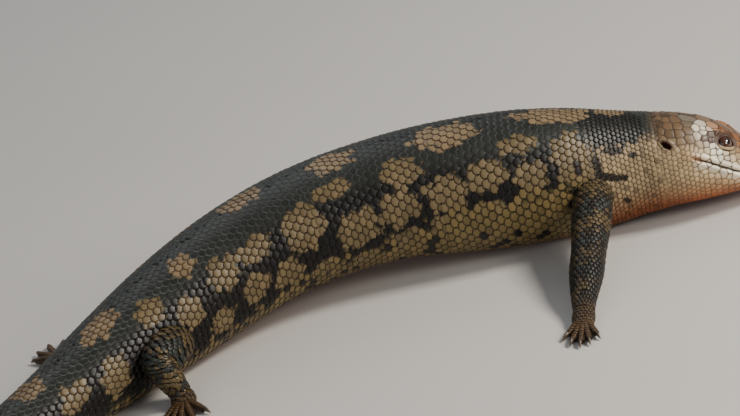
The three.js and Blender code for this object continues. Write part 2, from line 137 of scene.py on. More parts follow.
@dataclass
class BodyForm:
    """The body's surface from the snout to the tail's tip, the same as the solids have."""

    chest: float = 95
    snout_round: float = 5
    tail_round: float = 4
    step: float = 0.5
    station_count: int = 223
    share_count: int = 65
    sweep_count: int = 361
    nudge: float = 0.4
    chart_size: Range = (0.74, 0.97)
    chart_edge: float = 0.01
    # at, heading, half width, back, belly, widest, squareness, lean
    sections: tuple[tuple[float, ...], ...] = (
        (0, -12, 6.2, 13.2, 6.2, 0.45, 2.2, 12),
        (5, -12, 8.2, 17.0, 5.0, 0.44, 2.3, 12),
        (12, -12, 11.4, 22.4, 4.2, 0.42, 2.4, 12),
        (19, -12, 14.2, 28.8, 3.8, 0.41, 2.5, 12),
        (27, -12, 16.8, 34.2, 3.4, 0.41, 2.5, 12),
        (36, -11, 18.4, 37.6, 3.0, 0.42, 2.4, 12),
        (44, -11, 18.6, 39.6, 2.6, 0.44, 2.3, 12),
        (54, -11, 18.2, 41.8, 1.4, 0.46, 2.2, 11),
        (66, -11, 20.8, 44.8, -0.4, 0.45, 2.1, 9),
        (80, -11, 25.2, 48.0, -1.0, 0.44, 2.1, 6),
        (100, -10, 28.2, 51.0, -1.0, 0.44, 2.1, 3),
        (125, -7, 29.6, 52.4, 1.4, 0.44, 2.1, 1),
        (155, 1, 29.2, 52.2, 5.6, 0.45, 2.1, 0),
        (190, 13, 27.8, 50.2, 5.8, 0.45, 2.1, 0),
        (225, 27, 25.2, 45.0, 2.0, 0.45, 2.1, 0),
        (255, 36, 22.6, 38.6, -0.8, 0.45, 2.1, 0),
        (285, 42, 18.8, 31.6, -0.8, 0.46, 2.1, 0),
        (310, 44, 15.4, 26.4, -0.6, 0.46, 2.1, 0),
        (345, 42, 12.0, 21.6, -0.6, 0.46, 2.1, 0),
        (385, 33, 8.4, 15.2, -0.5, 0.46, 2.1, 0),
        (424, 22, 4.8, 8.6, -0.4, 0.46, 2.0, 0),
        (445, 14, 2.6, 4.6, -0.3, 0.46, 2.0, 0),
    )

    def __post_init__(self) -> None:
        """Works out the spine's plan and how far round each section a turn lies."""
        self.table = np.array(self.sections, float)
        self.length = float(self.table[-1, Column.AT])
        count = int(self.length / self.step)
        heading = np.radians(self.read(Column.HEADING, (np.arange(count) + 0.5) * self.step))
        plan = np.zeros((count + 1, 2))
        plan[1:] = -np.cumsum(np.c_[np.cos(heading), np.sin(heading)], 0) * self.step
        self.plan = plan - plan[int(self.chest / self.step)]
        self.stations = np.linspace(0, self.length, self.station_count)
        self.shares = np.linspace(0, 1, self.share_count)
        self.angles = {side: np.zeros((self.station_count, self.share_count)) for side in Side}
        self.girths = {side: np.zeros(self.station_count) for side in Side}
        for side in Side:
            sweep = np.radians(90 - side.value * np.linspace(0, 180, self.sweep_count))
            at, angle = np.meshgrid(self.stations, sweep, indexing="ij")
            ring = self.by_angle(at, angle, 0, closed=False)
            walk = np.linalg.norm(np.diff(ring, axis=1), axis=2)
            walk = np.concatenate([np.zeros((len(at), 1)), np.cumsum(walk, axis=1)], axis=1)
            self.girths[side] = walk[:, -1]
            for i, row in enumerate(walk):
                self.angles[side][i] = np.interp(self.shares * row[-1], row, sweep)

    def read(self, column: Column, at: Array) -> Array:
        """One column of the sections' table, read at any place along the back."""
        return blend(self.table[:, Column.AT], self.table[:, column], at)

    def spine(self, at: Array) -> tuple[Array, Array, Array]:
        """The spine's plan place, its forward way and its left way.

        Args:
            at: Ways along the back.

        Returns:
            The places seen from above, and at each the way towards the head and the way to the
            left.
        """
        at = np.asarray(at, float)
        k = np.clip(np.floor(at / self.step).astype(int), 0, len(self.plan) - 2)
        part = (at / self.step - k)[..., None]
        heading = np.radians(self.read(Column.HEADING, at))
        forward = np.stack([np.cos(heading), np.sin(heading)], -1)
        left = np.stack([-np.sin(heading), np.cos(heading)], -1)
        return self.plan[k] * (1 - part) + self.plan[k + 1] * part, forward, left

    def by_angle(self, at: Array, angle: Array, grow: Array | float, closed: bool = True) -> Array:
        """Points of the surface by the angle round a section.

        Args:
            at: Ways along the back.
            angle: Angles round the section, 90 degrees at the back and 180 at the right side.
            grow: How far outside the surface the points are.
            closed: Whether the snout and the tail round off to a point.

        Returns:
            The points, in millimetres.
        """
        back, belly = self.read(Column.BACK, at), self.read(Column.BELLY, at)
        middle = belly + self.read(Column.WIDEST, at) * (back - belly)
        close: Array | float = 1.0
        if closed:
            snout = np.clip(at / self.snout_round, 0, 1)
            tail = np.clip((self.length - at) / self.tail_round, 0, 1)
            close = np.sqrt(1 - (1 - snout) ** 2) * np.sqrt(1 - (1 - tail) ** 2)
        power = 2 / self.read(Column.SQUARE, at)
        half = self.read(Column.HALF, at)
        across, rise = np.cos(angle), np.sin(angle)
        across = np.sign(across) * np.abs(across) ** power * (half + grow) * close
        rise = np.sign(rise) * np.abs(rise) ** power
        rise = rise * (np.where(rise > 0, back - middle, middle - belly) + grow) * close
        lean = np.radians(self.read(Column.LEAN, at))
        plan, _, left = self.spine(at)
        sideways = across * np.cos(lean) + rise * np.sin(lean)
        height = middle + rise * np.cos(lean) - across * np.sin(lean)
        flat = plan + left * sideways[..., None]
        return np.concatenate([flat, np.maximum(height, FLOOR_CLEAR)[..., None]], -1)

    def angle(self, at: Array, turn: Array) -> Array:
        """The angle round the section that a turn lies at.

        Args:
            at: Ways along the back.
            turn: Turns, over 0 on the right side.

        Returns:
            The angles, in radians.
        """
        row = np.clip(at / self.length, 0, 1) * (len(self.stations) - 1)
        column = np.clip(np.abs(turn), 0, 1) * (len(self.shares) - 1)
        i = np.clip(np.floor(row).astype(int), 0, len(self.stations) - 2)
        j = np.clip(np.floor(column).astype(int), 0, len(self.shares) - 2)
        u, v = row - i, column - j
        found = {}
        for side, table in self.angles.items():
            near = table[i, j] * (1 - v) + table[i, j + 1] * v
            far = table[i + 1, j] * (1 - v) + table[i + 1, j + 1] * v
            found[side] = near * (1 - u) + far * u
        return np.where(turn > 0, found[Side.RIGHT], found[Side.LEFT])

    def point(self, at: Array, turn: Array, grow: Array | float = 0) -> Array:
        """Points of the surface by way along and turn, grown outwards.

        Args:
            at: Ways along the back.
            turn: Turns, over 0 on the right side.
            grow: How far outside the surface the points are.

        Returns:
            The points, in millimetres.
        """
        at = np.asarray(at, float)
        turn = np.where(np.abs(turn) > 1, turn - 2 * np.sign(turn), turn)
        return self.by_angle(at, self.angle(at, turn), grow)

    def girth(self, at: Array) -> Array:
        """Half the way round the body, from the back's midline to the belly's."""
        return np.interp(at, self.stations, self.girths[Side.RIGHT])

    def outward(self, at: Array, turn: Array) -> Array:
        """The surface's own way out.

        Args:
            at: Ways along the back.
            turn: Turns, over 0 on the right side.

        Returns:
            The ways out, each one unit long.
        """
        at = np.asarray(at, float)
        turn = np.asarray(turn, float)
        ahead = self.point(np.minimum(at + self.nudge, self.length), turn)
        along = ahead - self.point(np.maximum(at - self.nudge, 0.01), turn)
        spread = self.nudge / self.girth(at)
        around = self.point(at, turn + spread) - self.point(at, turn - spread)
        return unit(np.cross(along, around))

    def chart(self, at: Array, turn: Array) -> Array:
        """Places on the OFBake map, an unwrap of the body.

        Args:
            at: Ways along the back.
            turn: Turns, over 0 on the right side.

        Returns:
            The places, two numbers each, from 0 to 1.
        """
        wide, tall = self.chart_size
        edge = self.chart_edge
        return np.stack([at / self.length * wide + edge, (turn + 1) / 2 * tall + edge], -1)

    def level(self, at: Array, points: Array) -> Array:
        """The points' heights in their own sections, before these lean over.

        Args:
            at: The points' ways along the back.
            points: The points, in millimetres.

        Returns:
            The heights over the floor.
        """
        belly = self.read(Column.BELLY, at)
        middle = belly + self.read(Column.WIDEST, at) * (self.read(Column.BACK, at) - belly)
        lean = np.radians(self.read(Column.LEAN, at))
        plan, _, left = self.spine(at)
        sideways = ((points[..., :2] - plan) * left).sum(-1)
        return middle + (points[..., 2] - middle) * np.cos(lean) + sideways * np.sin(lean)

    def turn_at_height(self, at: float, height: float, side: Side) -> float:
        """The turn where one side of the body has a height in its section.

        Args:
            at: The way along the back.
            height: The height over the floor.
            side: The side of the body.

        Returns:
            The turn, over 0 on the right side.
        """
        turns = np.linspace(0.02, 0.97, 200)
        ways = np.full(len(turns), float(at))
        heights = self.level(ways, self.point(ways, -side.value * turns))
        order = np.argsort(heights)
        return -side.value * float(np.interp(height, heights[order], turns[order]))


def srgb(red: int, green: int, blue: int) -> Array:
    """A colour as light, from its screen values."""
    return (np.array([red, green, blue]) / 255.0) ** 2.2


def tint(red: int, green: int, blue: int) -> Array:
    """A palette's colour as a dataclass field's default."""
    return field(default_factory=lambda: srgb(red, green, blue))


def pick(mask: Array, chosen: Array, other: Array) -> Array:
    """The chosen colour where the mask is over 0, and the other elsewhere."""
    return np.where(mask[..., None] > 0, chosen, other)


def toward(colour: Array, goal: Array, mask: Array) -> Array:
    """A colour moved towards another by a mask from 0 to 1."""
    return colour + (goal - colour) * mask[..., None]


@dataclass(frozen=True)
class Palette:
    """The animal's colours."""

    slate: Array = tint(36, 37, 33)
    # Pale rear margins of the dark back's scales: partly their own paler edge, partly a painted glint.
    pale_slate_edge_and_glint: Array = tint(92, 95, 90)
    saddle: Array = tint(120, 102, 76)
    saddle_edge: Array = tint(90, 70, 48)
    black: Array = tint(15, 11, 6)
    black_edge: Array = tint(26, 20, 12)
    blotch: Array = tint(103, 89, 63)
    blotch_edge: Array = tint(80, 62, 39)
    flank: Array = tint(110, 94, 59)
    flank_edge: Array = tint(56, 44, 26)
    belly: Array = tint(172, 114, 56)
    belly_edge: Array = tint(130, 84, 42)
    head: Array = tint(100, 79, 57)
    head_edge: Array = tint(62, 50, 40)
    brow: Array = tint(176, 112, 64)
    cheek: Array = tint(180, 156, 118)
    # Near white for the temple's shields: partly their own pale colour, mainly a painted highlight.
    pale_temple_highlight: Array = tint(250, 238, 214)
    # Cream lips brightened to near white: their own pale colour with a painted highlight.
    lip: Array = tint(255, 246, 222)
    throat: Array = tint(154, 83, 36)
    throat_edge: Array = tint(116, 64, 31)
    seam: Array = tint(124, 103, 76)
    # Near black for the eye sockets, nostrils and mouth line: painted shade in these hollows.
    socket: Array = tint(40, 30, 24)
    # Dark brown of the lids and round the eye: partly their own colour, partly painted shade under the
    # brow.
    orbit: Array = tint(70, 46, 34)
    # Dark red-brown in the ear and nostril cups: painted shade in these hollows.
    shaded_cup: Array = tint(62, 28, 20)
    leg: Array = tint(42, 34, 21)
    leg_edge: Array = tint(15, 12, 8)
    leg_tan: Array = tint(86, 72, 46)
    leg_blue: Array = tint(46, 50, 46)
    foot: Array = tint(80, 60, 36)


@dataclass(frozen=True)
class Blotch:
    """A pale patch: its middle along and round the body, and its length and width."""

    at: float
    arc: float
    long: float
    wide: float


def blotches(*rows: tuple[float, ...]) -> tuple[Blotch, ...]:
    """Patches from rows of numbers."""
    return tuple(Blotch(*row) for row in rows)


@dataclass
class Markings:
    """The pattern that skin and coat share, with some painted highlights and painted shade in it."""

    form: BodyForm
    colours: Palette = field(default_factory=Palette)
    saddles: tuple[Blotch, ...] = blotches(
        (62, 0, 13, 10), (84, 3, 29, 15), (126, 7, 27, 16), (172, 3, 19, 15), (210, -2, 17, 14),
        (246, 10, 10, 11), (284, 3, 17, 13), (318, 0, 13, 12), (350, 2, 12, 9), (380, 0, 11, 8),
        (408, 1, 9, 7),
    )
    flanks: tuple[Blotch, ...] = blotches(
        (98, 19, 14, 9), (146, 21, 17, 12), (176, 19, 17, 8), (218, 24, 17, 9), (79, 26, 14, 21),
        (95, 33, 13, 13), (112, 30, 18, 12), (129, 34, 19, 14), (151, 35, 20, 13),
        (171, 37, 18, 15), (194, 28, 18, 17), (207, 40, 14, 11), (234, 24, 14, 13),
        (254, 26, 12, 12), (268, 15, 12, 11), (270, 31, 12, 9), (224, 37, 13, 11),
        (243, 38, 12, 10), (190, 47, 13, 8), (131, 46, 18, 9), (149, 48, 16, 9),
        (112, 44, 16, 9), (95, 47, 14, 10), (170, 51, 14, 8), (292, 22, 12, 13),
        (309, 16, 12, 10), (328, 17, 12, 9), (346, 13, 11, 8), (364, 11, 10, 7), (382, 9, 9, 6),
        (400, 7, 9, 5),
    )
    bars: tuple[Blotch, ...] = blotches(
        (69.6, 33, 3.6, 20), (64.6, 32.6, 10, 3.0), (61, 42, 2.8, 2.8), (63.5, 22.5, 8, 3.2),
        (56, 23.5, 4, 2.6), (77, 39, 12, 3.2), (77, 30, 3.2, 6),
    )
    left_shift: float = 13
    bar_shift: float = 4
    midline: float = 9
    ragged: float = 0.40
    lobes: tuple[tuple[int, float], ...] = ((5, 0.10), (9, 0.07))
    tone: Range = (0.80, 0.40)
    ground_shares: Range = (0.22, 0.34)
    rim_shares: Range = (0.20, 0.32)
    flank_start: Table = ((80, 120, 138, 155, 180, 230), (0.43, 0.44, 0.50, 0.55, 0.56, 0.62))
    flank_fade: float = 0.05
    flank_jitter: float = 0.10
    dotted_draw: float = 0.86
    dotted_share: float = 0.78
    belly_shares: Range = (0.74, 0.90)
    saddle_share: float = 0.5
    neck_ways: Range = (76, 66)
    speck_draw: float = 0.93
    speck_dark: float = 0.4
    nape_reach: Table = ((48, 50, 54, 60, 69, 72, 77), (0.20, 0.24, 0.29, 0.33, 0.31, 0.25, 0.0))
    nape_front: float = 54
    nape_bow: Range = (4, 0.15)
    nape_jitter: Range = (2.5, 0.06)
    nape_gaps: float = 0.08
    nape_dark: float = 0.6
    crown_ways: Range = (50, 42)
    crown_shares: Range = (0.36, 0.24)
    crown_tone: Range = (0.55, 0.5)
    throat_shares: Range = (0.54, 0.80)
    neck_dim: Table = ((34, 50), (1.0, 0.62))
    cheek_shares: Range = (0.26, 0.45)
    brow_share: Range = (0.20, 0.09)
    brow_ways: tuple[Range, Range] = ((29, 25), (7, 13))
    brow_strength: float = 0.85
    temple_highlight_line: Table = ((0.04, 0.27, 0.40), (31, 27.5, 23.5))
    temple_highlight_wide: float = 3.4
    temple_highlight_shares: tuple[Range, Range] = ((0.50, 0.42), (0.03, 0.12))
    dusky_share: Range = (0.26, 0.16)
    dusky_ways: Range = (6, 14)
    dusky_dark: float = 0.45
    leg_wave: float = 0.42
    leg_twist: float = 1.5
    leg_jitter: float = 0.9
    leg_blue_from: float = 0.86
    leg_fleck: Range = (0.87, 0.35)
    streak_turn: Range = (0.36, 0.24)
    streak_ways: Range = (22, 38)
    streak_dark: float = 0.8
    # Painted shade on the lower leg: how far down it starts and how dark it gets.
    forearm_shade_ways: Range = (30, 50)
    forearm_shade: float = 0.35

    def inside(self, blotches: Sequence[Blotch], at: Array, arc: Array) -> Array:
        """How deep each place is in the nearest blotch.

        Args:
            blotches: The patches to look in.
            at: The places' ways along the back.
            arc: How far round the body the places are, in millimetres.

        Returns:
            The depths, over 0 inside a blotch and under 0 outside all of them.
        """
        depth = np.full(np.shape(at), -9.0)
        for blotch in blotches:
            along = (at - blotch.at) / (blotch.long / 2)
            across = (arc - blotch.arc) / (blotch.wide / 2)
            angle = np.arctan2(across, along)
            (few, high), (many, low) = self.lobes
            lobes = high * np.sin(few * angle + blotch.at)
            lobes = lobes + low * np.sin(many * angle + blotch.at * 2)
            depth = np.maximum(depth, 1 + lobes - np.hypot(along, across))
        return depth

    def toned(self, colour: Array, rim: Array, draw: Array) -> tuple[Array, Array]:
        """Both colours made a little lighter or darker by each scale's third draw."""
        tone = self.tone[0] + self.tone[1] * draw[..., 2:3]
        return colour * tone, rim * tone

    def body(self, at: Array, turn: Array, draw: Array) -> tuple[Array, Array]:
        """The colour of the body's scales and of their rims.

        Args:
            at: Each scale's way along the back.
            turn: Each scale's turn.
            draw: Three random numbers for each scale, from 0 to 1.

        Returns:
            The scales' colours and their rims' colours.
        """
        c = self.colours
        shift = np.where(turn > 0, 0.0, self.left_shift)
        share = np.abs(turn)
        arc = share * self.form.girth(at)
        jitter = draw[..., 0] - 0.5
        ragged = jitter * self.ragged
        central = arc < self.midline
        saddle_arc = np.where(turn > 0, arc, np.where(central, -arc, arc))
        saddle_at = at + np.where(central, 0, shift)
        in_saddle = self.inside(self.saddles, saddle_at, saddle_arc) + ragged
        in_flank = self.inside(self.flanks, at + shift, arc) + ragged
        ground = toward(c.slate, c.black, smooth(*self.ground_shares, share))
        # The dark ground's rims: pale on the back, partly a painted glint, and black lower down.
        ground_edge = toward(c.pale_slate_edge_and_glint, c.black_edge, smooth(*self.rim_shares, share))
        start = np.interp(at, *self.flank_start)
        low = smooth(0.0, self.flank_fade, share - start + jitter * self.flank_jitter)
        dotted = (draw[..., 1] > self.dotted_draw) & (share < self.dotted_share)
        flank = toward(ground, pick(dotted, c.black, c.flank), low)
        flank_edge = toward(ground_edge, c.flank_edge, low)
        under = smooth(*self.belly_shares, share)
        flank = toward(flank, c.belly, under)
        flank_edge = toward(flank_edge, c.belly_edge, under)
        colour = pick(in_flank, toward(c.blotch, c.flank, low), flank)
        rim = pick(in_flank, toward(c.blotch_edge, c.flank_edge, low), flank_edge)
        saddled = in_saddle * (share < self.saddle_share)
        colour, rim = pick(saddled, c.saddle, colour), pick(saddled, c.saddle_edge, rim)
        neck = smooth(*self.neck_ways, at) * smooth(*self.ground_shares, share)
        speck = np.where(draw[..., 2] > self.speck_draw, self.speck_dark, 1.0)
        neck_colour, neck_rim = self.side_of_neck(at, share)
        colour = toward(colour, neck_colour * speck[..., None], neck)
        rim = toward(rim, neck_rim, neck)
        bar_at = at + np.where(turn > 0, 0, self.bar_shift)
        marked = self.inside(self.bars, bar_at, arc) + ragged > 0
        colour = toward(colour, c.black, marked * 1.0)
        reach = np.interp(at, *self.nape_reach) + jitter * self.nape_jitter[1]
        bow, bow_share = self.nape_bow
        front = self.nape_front - bow * np.clip(share / bow_share, 0, 1)
        front = front + jitter * self.nape_jitter[0]
        nape = ((share < reach) & (at > front)) * 1.0
        dark = nape * np.where(in_saddle > 0, 0.0, 1.0) * (draw[..., 1] > self.nape_gaps)
        colour = toward(colour, c.slate * self.nape_dark, dark)
        rim = toward(rim, c.black_edge, nape)
        crown = smooth(*self.crown_ways, at) * smooth(*self.crown_shares, share)
        tone = self.crown_tone[0] + self.crown_tone[1] * draw[..., 2:3]
        colour = toward(colour, c.head * tone, crown)
        rim = toward(rim, c.head_edge * self.nape_dark, crown)
        return self.toned(colour, rim, draw)

    def side_of_neck(self, at: Array, share: Array) -> tuple[Array, Array]:
        """The colours that run from the cheek over the neck's side down to the throat.

        Args:
            at: Each scale's way along the back.
            share: How far round from the back's midline each scale is, from 0 to 1.

        Returns:
            The scales' colours and their rims' colours.
        """
        c = self.colours
        lower = smooth(*self.throat_shares, share)
        fade = np.interp(at, *self.neck_dim)[..., None]
        colour = toward(c.cheek * fade, c.throat * fade, lower)
        return colour, toward(c.seam, c.throat_edge, lower) * fade

    def head(self, at: Array, turn: Array, draw: Array) -> tuple[Array, Array]:
        """The colour of the head's shields and of their rims.

        Args:
            at: Each shield's way along the back.
            turn: Each shield's turn.
            draw: Three random numbers for each shield, from 0 to 1.

        Returns:
            The shields' colours and their rims' colours.
        """
        c = self.colours
        share = np.abs(turn)
        side, side_rim = self.side_of_neck(at, share)
        over = smooth(*self.cheek_shares, share)
        colour, rim = toward(c.head, side, over), toward(c.head_edge, side_rim, over)
        middle, wide = self.brow_share
        ends, front = self.brow_ways
        brow = np.exp(-(((share - middle) / wide) ** 2)) * smooth(*ends, at) * smooth(*front, at)
        colour = toward(colour, c.brow, brow * self.brow_strength)
        # A band of temple shields behind the eye painted near white: a painted highlight over their pale
        # colour.
        line = np.interp(share, *self.temple_highlight_line)
        lower, upper = self.temple_highlight_shares
        pale_temple_highlight = np.exp(-(((at - line) / self.temple_highlight_wide) ** 2))
        pale_temple_highlight = pale_temple_highlight * smooth(*lower, share) * smooth(*upper, share)
        colour, rim = toward(colour, c.pale_temple_highlight, pale_temple_highlight), toward(rim, c.head_edge, pale_temple_highlight)
        dusky = smooth(*self.dusky_share, share) * smooth(*self.dusky_ways, at) * (draw[..., 1] > 0.5)
        return self.toned(colour * (1 - self.dusky_dark * dusky)[..., None], rim, draw)

    def leg(
        self, along: Array, turn: Array, draw: Array, foot: Array, pale: float
    ) -> tuple[Array, Array]:
        """The colour of a leg's scales and rims.

        Args:
            along: Each scale's way down the leg.
            turn: Each scale's turn round it, over 0 on the side towards the head.
            draw: Three random numbers for each scale, from 0 to 1.
            foot: How much of the foot's brown each scale has.
            pale: How much of the leg is tan between its dark patches.

        Returns:
            The scales' colours and their rims' colours.
        """
        c = self.colours
        wave = np.sin(along * self.leg_wave + self.leg_twist * np.sin(turn * math.pi)) * 0.5 + 0.5
        patch = wave + (draw[..., 1] - 0.5) * self.leg_jitter
        colour = np.where((patch < pale)[..., None], c.leg_tan, c.leg)
        colour = np.where((patch > self.leg_blue_from)[..., None], c.leg_blue, colour)
        fleck_from, fleck_dark = self.leg_fleck
        colour = colour * np.where(draw[..., 0:1] > fleck_from, fleck_dark, 1.0)
        middle, wide = self.streak_turn
        streak = np.exp(-(((turn - middle) / wide) ** 2)) * smooth(*self.streak_ways, along) * (1 - foot)
        colour = colour * (1 - self.streak_dark * streak[..., None])
        # Painted shade: the leg is darkened down its lower length, above the foot.
        shaded = smooth(*self.forearm_shade_ways, along) * (1 - foot)
        colour = toward(colour * (1 - self.forearm_shade * shaded)[..., None], c.foot, foot)
        return self.toned(colour, np.broadcast_to(c.leg_edge, colour.shape), draw)


@dataclass(frozen=True)
class Feature:
    """Where a feature of the head is: its way along, its height and its tilt in degrees."""

    at: float
    height: float
    tilt: float = 0


@dataclass(frozen=True)
class Oval:
    """An oval in a feature's own axes, with a soft edge and its middle ahead of or above it."""

    long: float
    tall: float
    edge: Range = (1.1, 0.85)
    ahead: float = 0
    above: float = 0
    behind: float = 6


@dataclass(frozen=True)
class Mound:
    """A soft rise, or a hollow where it is under 0 high."""

    high: float
    ahead: float
    above: float
    long: float
    tall: float


@dataclass(frozen=True)
class Bowl:
    """A sunk oval with a raised ring round it, and the mounds that belong to it."""

    oval: Oval
    deep: float
    ring: float
    ring_at: float
    ring_wide: float
    mounds: tuple[Mound, ...] = ()


@dataclass
class HeadRelief:
    """The head's features: where they are, and how they raise or sink its surface."""

    form: BodyForm
    eye: Feature = Feature(20.5, 25.4)
    nostril: Feature = Feature(4.8, 14.2)
    ear: Feature = Feature(43, 29.6, -42)
    eye_radius: float = 3.4
    eye_sink: float = 2.3
    eye_open: Oval = Oval(3.9, 3.1, (1.30, 0.98))
    brow: Mound = Mound(1.15, 0, 4.0, 6.5, 1.25)
    hollow: Mound = Mound(-0.55, 9, -1.5, 4.5, 3.0)
    eye_bowl: Bowl = Bowl(Oval(3.5, 2.9, (1.05, 0.70), behind=7), 3.2, 0.35, 1.45, 0.3, (brow, hollow))
    ear_bowl: Bowl = Bowl(Oval(2.4, 1.25, (1.1, 0.45)), 3.2, 0.35, 1.4, 0.28)
    nostril_bowl: Bowl = Bowl(Oval(1.0, 0.8, (1.1, 0.4), behind=4), 1.3, 0.16, 1.5, 0.35)
    lid_long: float = 3.55
    lid_tall: Range = (2.5, 2.85)
    lip_rise: float = 1.45
    mouth_end: Range = (35.5, 32.5)
    mouth: Table = ((0, 2, 6, 12, 18, 24, 29, 34), (9.7, 9.8, 10.2, 11.4, 13.8, 17.4, 20.4, 22.6))

    def place(self, feature: Feature, side: Side) -> tuple[Array, ...]:
        """A feature's own axes.

        Args:
            feature: The feature.
            side: The side of the head.

        Returns:
            Its point, its way out, its way forward and its way up, both of them in the surface and
            turned by its tilt.
        """
        form, at = self.form, np.array(float(feature.at))
        turn = np.array(form.turn_at_height(feature.at, feature.height, side))
        out = form.outward(at, turn)
        forward = np.append(form.spine(at)[1], 0)
        forward = unit(forward - out * (forward @ out))
        up = np.cross(out, forward)
        up = up * np.sign(up[2])
        tilt = math.radians(feature.tilt)
        first = forward * math.cos(tilt) + up * math.sin(tilt)
        second = up * math.cos(tilt) - forward * math.sin(tilt)
        return form.point(at, turn), out, first, second

    def across(self, points: Array, feature: Feature, side: Side) -> tuple[Array, Array, Array]:
        """Each point's way forward, up and out from a feature.

        Args:
            points: The points, in millimetres.
            feature: The feature.
            side: The side of the head.

        Returns:
            The three ways, in millimetres.
        """
        centre, out, first, second = self.place(feature, side)
        away = points - centre
        return away @ first, away @ second, away @ out

    def reach(self, points: Array, feature: Feature, side: Side, oval: Oval) -> tuple[Array, Array]:
        """How far out of an oval each point is, 1 on its edge, and whether it is on that side.

        Args:
            points: The points, in millimetres.
            feature: The feature that the oval is round.
            side: The side of the head.
            oval: The oval.

        Returns:
            The distances in the oval's half sizes, and a mask of the points near enough.
        """
        u, v, w = self.across(points, feature, side)
        radius = np.hypot((u - oval.ahead) / oval.long, (v - oval.above) / oval.tall)
        return radius, w > -oval.behind

    def mask(self, points: Array, feature: Feature, side: Side, oval: Oval) -> Array:
        """1 inside an oval round a feature, 0 outside it, with the oval's soft edge."""
        radius, near = self.reach(points, feature, side, oval)
        return smooth(*oval.edge, radius) * near

    def mouth_gap(self, at: Array, points: Array) -> tuple[Array, Array]:
        """How far above the mouth's line each point is, and how much mouth there is there."""
        gap = self.form.level(at, points) - blend(*np.array(self.mouth), at)
        return gap, smooth(*self.mouth_end, at)

    def openings(self, points: Array) -> Array:
        """Where no shields grow: 1 in the eyes' openings."""
        bare = [self.mask(points, self.eye, side, self.eye_open) for side in Side]
        return np.maximum(*bare)

    def rise(self, at: Array, points: Array) -> Array:
        """How far the features raise or sink the surface.

        Args:
            at: The points' ways along the back.
            points: The points, in millimetres.

        Returns:
            The rises in millimetres, under 0 where the surface sinks.
        """
        total = np.zeros(np.shape(at))
        bowls = (self.eye, self.eye_bowl), (self.ear, self.ear_bowl), (self.nostril, self.nostril_bowl)
        for side in Side:
            for feature, bowl in bowls:
                u, v, _ = self.across(points, feature, side)
                radius, near = self.reach(points, feature, side, bowl.oval)
                total -= bowl.deep * smooth(*bowl.oval.edge, radius) * near
                total += bowl.ring * np.exp(-(((radius - bowl.ring_at) / bowl.ring_wide) ** 2)) * near
                for mound in bowl.mounds:
                    ahead, above = (u - mound.ahead) / mound.long, (v - mound.above) / mound.tall
                    total += mound.high * np.exp(-(ahead**2) - above**2) * near
        gap, there = self.mouth_gap(at, points)
        fade = there * smooth(0.0, 1.0, at + 0.5)
        lips = np.exp(-(((np.abs(gap) - self.lip_rise) / 0.95) ** 2))
        total += 0.55 * lips * fade
        total -= 1.15 * np.exp(-((gap / 0.5) ** 2)) * fade
        total += 0.5 * np.exp(-(((at - self.mouth_end[0]) / 2.2) ** 2) - ((gap / 2.0) ** 2))
        return total


class Grid:
    """A closed tube of skin, made from a flat sheet that is bent round a surface."""

    def __init__(self, rows: Array, columns: int) -> None:
        """Keeps the ways along that the tube's rings stand at, and how many sides it has."""
        self.rows = rows
        self.columns = columns

    def make(self, surface: Callable[[Array, Array], Array]) -> bmesh.types.BMesh:
        """Bends the sheet into a tube.

        Args:
            surface: Gives the points, in millimetres, for ways along and for turns from -1 to 1.

        Returns:
            The closed tube, in metres, with each vertex's way along and turn in two layers.
        """
        bm = bmesh.new()
        last = len(self.rows) - 1
        bmesh.ops.create_grid(bm, x_segments=last, y_segments=self.columns, size=1)
        flat = np.array([v.co[:2] for v in bm.verts])
        along = self.rows[np.rint((flat[:, 0] + 1) / 2 * last).astype(int)]
        turn = np.clip(flat[:, 1], -1, 1)
        turn = np.where(turn < -1 + 1e-4, 1.0, turn)
        points = surface(along, turn) * MM
        ways = bm.verts.layers.float.new("way")
        turns = bm.verts.layers.float.new("turn")
        for vertex, place, way, round_ in zip(bm.verts, points, along, turn):
            vertex.co = place
            vertex[ways] = way
            vertex[turns] = round_
        bmesh.ops.remove_doubles(bm, verts=bm.verts, dist=2e-6)
        bmesh.ops.dissolve_degenerate(bm, edges=bm.edges, dist=1e-7)
        bmesh.ops.recalc_face_normals(bm, faces=bm.faces)
        return bm


def add_object(name: str, bm: bmesh.types.BMesh, shaded_smooth: bool = True) -> bpy.types.Object:
    """Turns a bmesh into an object of the scene and frees it.

    Args:
        name: The object's name.
        bm: The shape, in metres.
        shaded_smooth: Whether its faces shade smoothly.

    Returns:
        The new object.
    """
    mesh = bpy.data.meshes.new(name)
    bm.to_mesh(mesh)
    bm.free()
    mesh.polygons.foreach_set("use_smooth", np.full(len(mesh.polygons), shaded_smooth))
    made = bpy.data.objects.new(name, mesh)
    bpy.context.scene.collection.objects.link(made)
    return made


def put(mesh: bpy.types.Mesh, name: str, kind: str, values: Array) -> None:
    """Writes one value for each vertex into a mesh's attribute.

    Args:
        mesh: The mesh.
        name: The attribute's name.
        kind: FLOAT, FLOAT_VECTOR or FLOAT_COLOR.
        values: The values, in the vertices' order.
    """
    found = mesh.attributes.get(name) or mesh.attributes.new(name, kind, "POINT")
    key = {"FLOAT": "value", "FLOAT_VECTOR": "vector", "FLOAT_COLOR": "color"}[kind]
    found.data.foreach_set(key, np.ascontiguousarray(values, np.float32).ravel())


def with_alpha(colour: Array) -> Array:
    """Colours with a full alpha added."""
    return np.concatenate([np.clip(colour, 0, 1), np.ones((*colour.shape[:-1], 1))], -1)


@dataclass(frozen=True)
class Joint:
    """A station of a limb: its place from the limb's root, its half width and half height."""

    forward: float
    outward: float
    up: float
    half: float
    tall: float


def joints(*rows: tuple[float, ...]) -> tuple[Joint, ...]:
    """Stations of a limb from rows of numbers."""
    return tuple(Joint(*row) for row in rows)


@dataclass(frozen=True)
class LimbPlan:
    """One leg's sizes, the same as its solids have; the lower length goes on from the upper."""

    name: str
    side: Side
    at: float
    upper: tuple[Joint, ...]
    lower: tuple[Joint, ...]
    palm: Joint
    facing: float
    fan: tuple[float, ...]
    toes: tuple[float, ...]
    thick: float


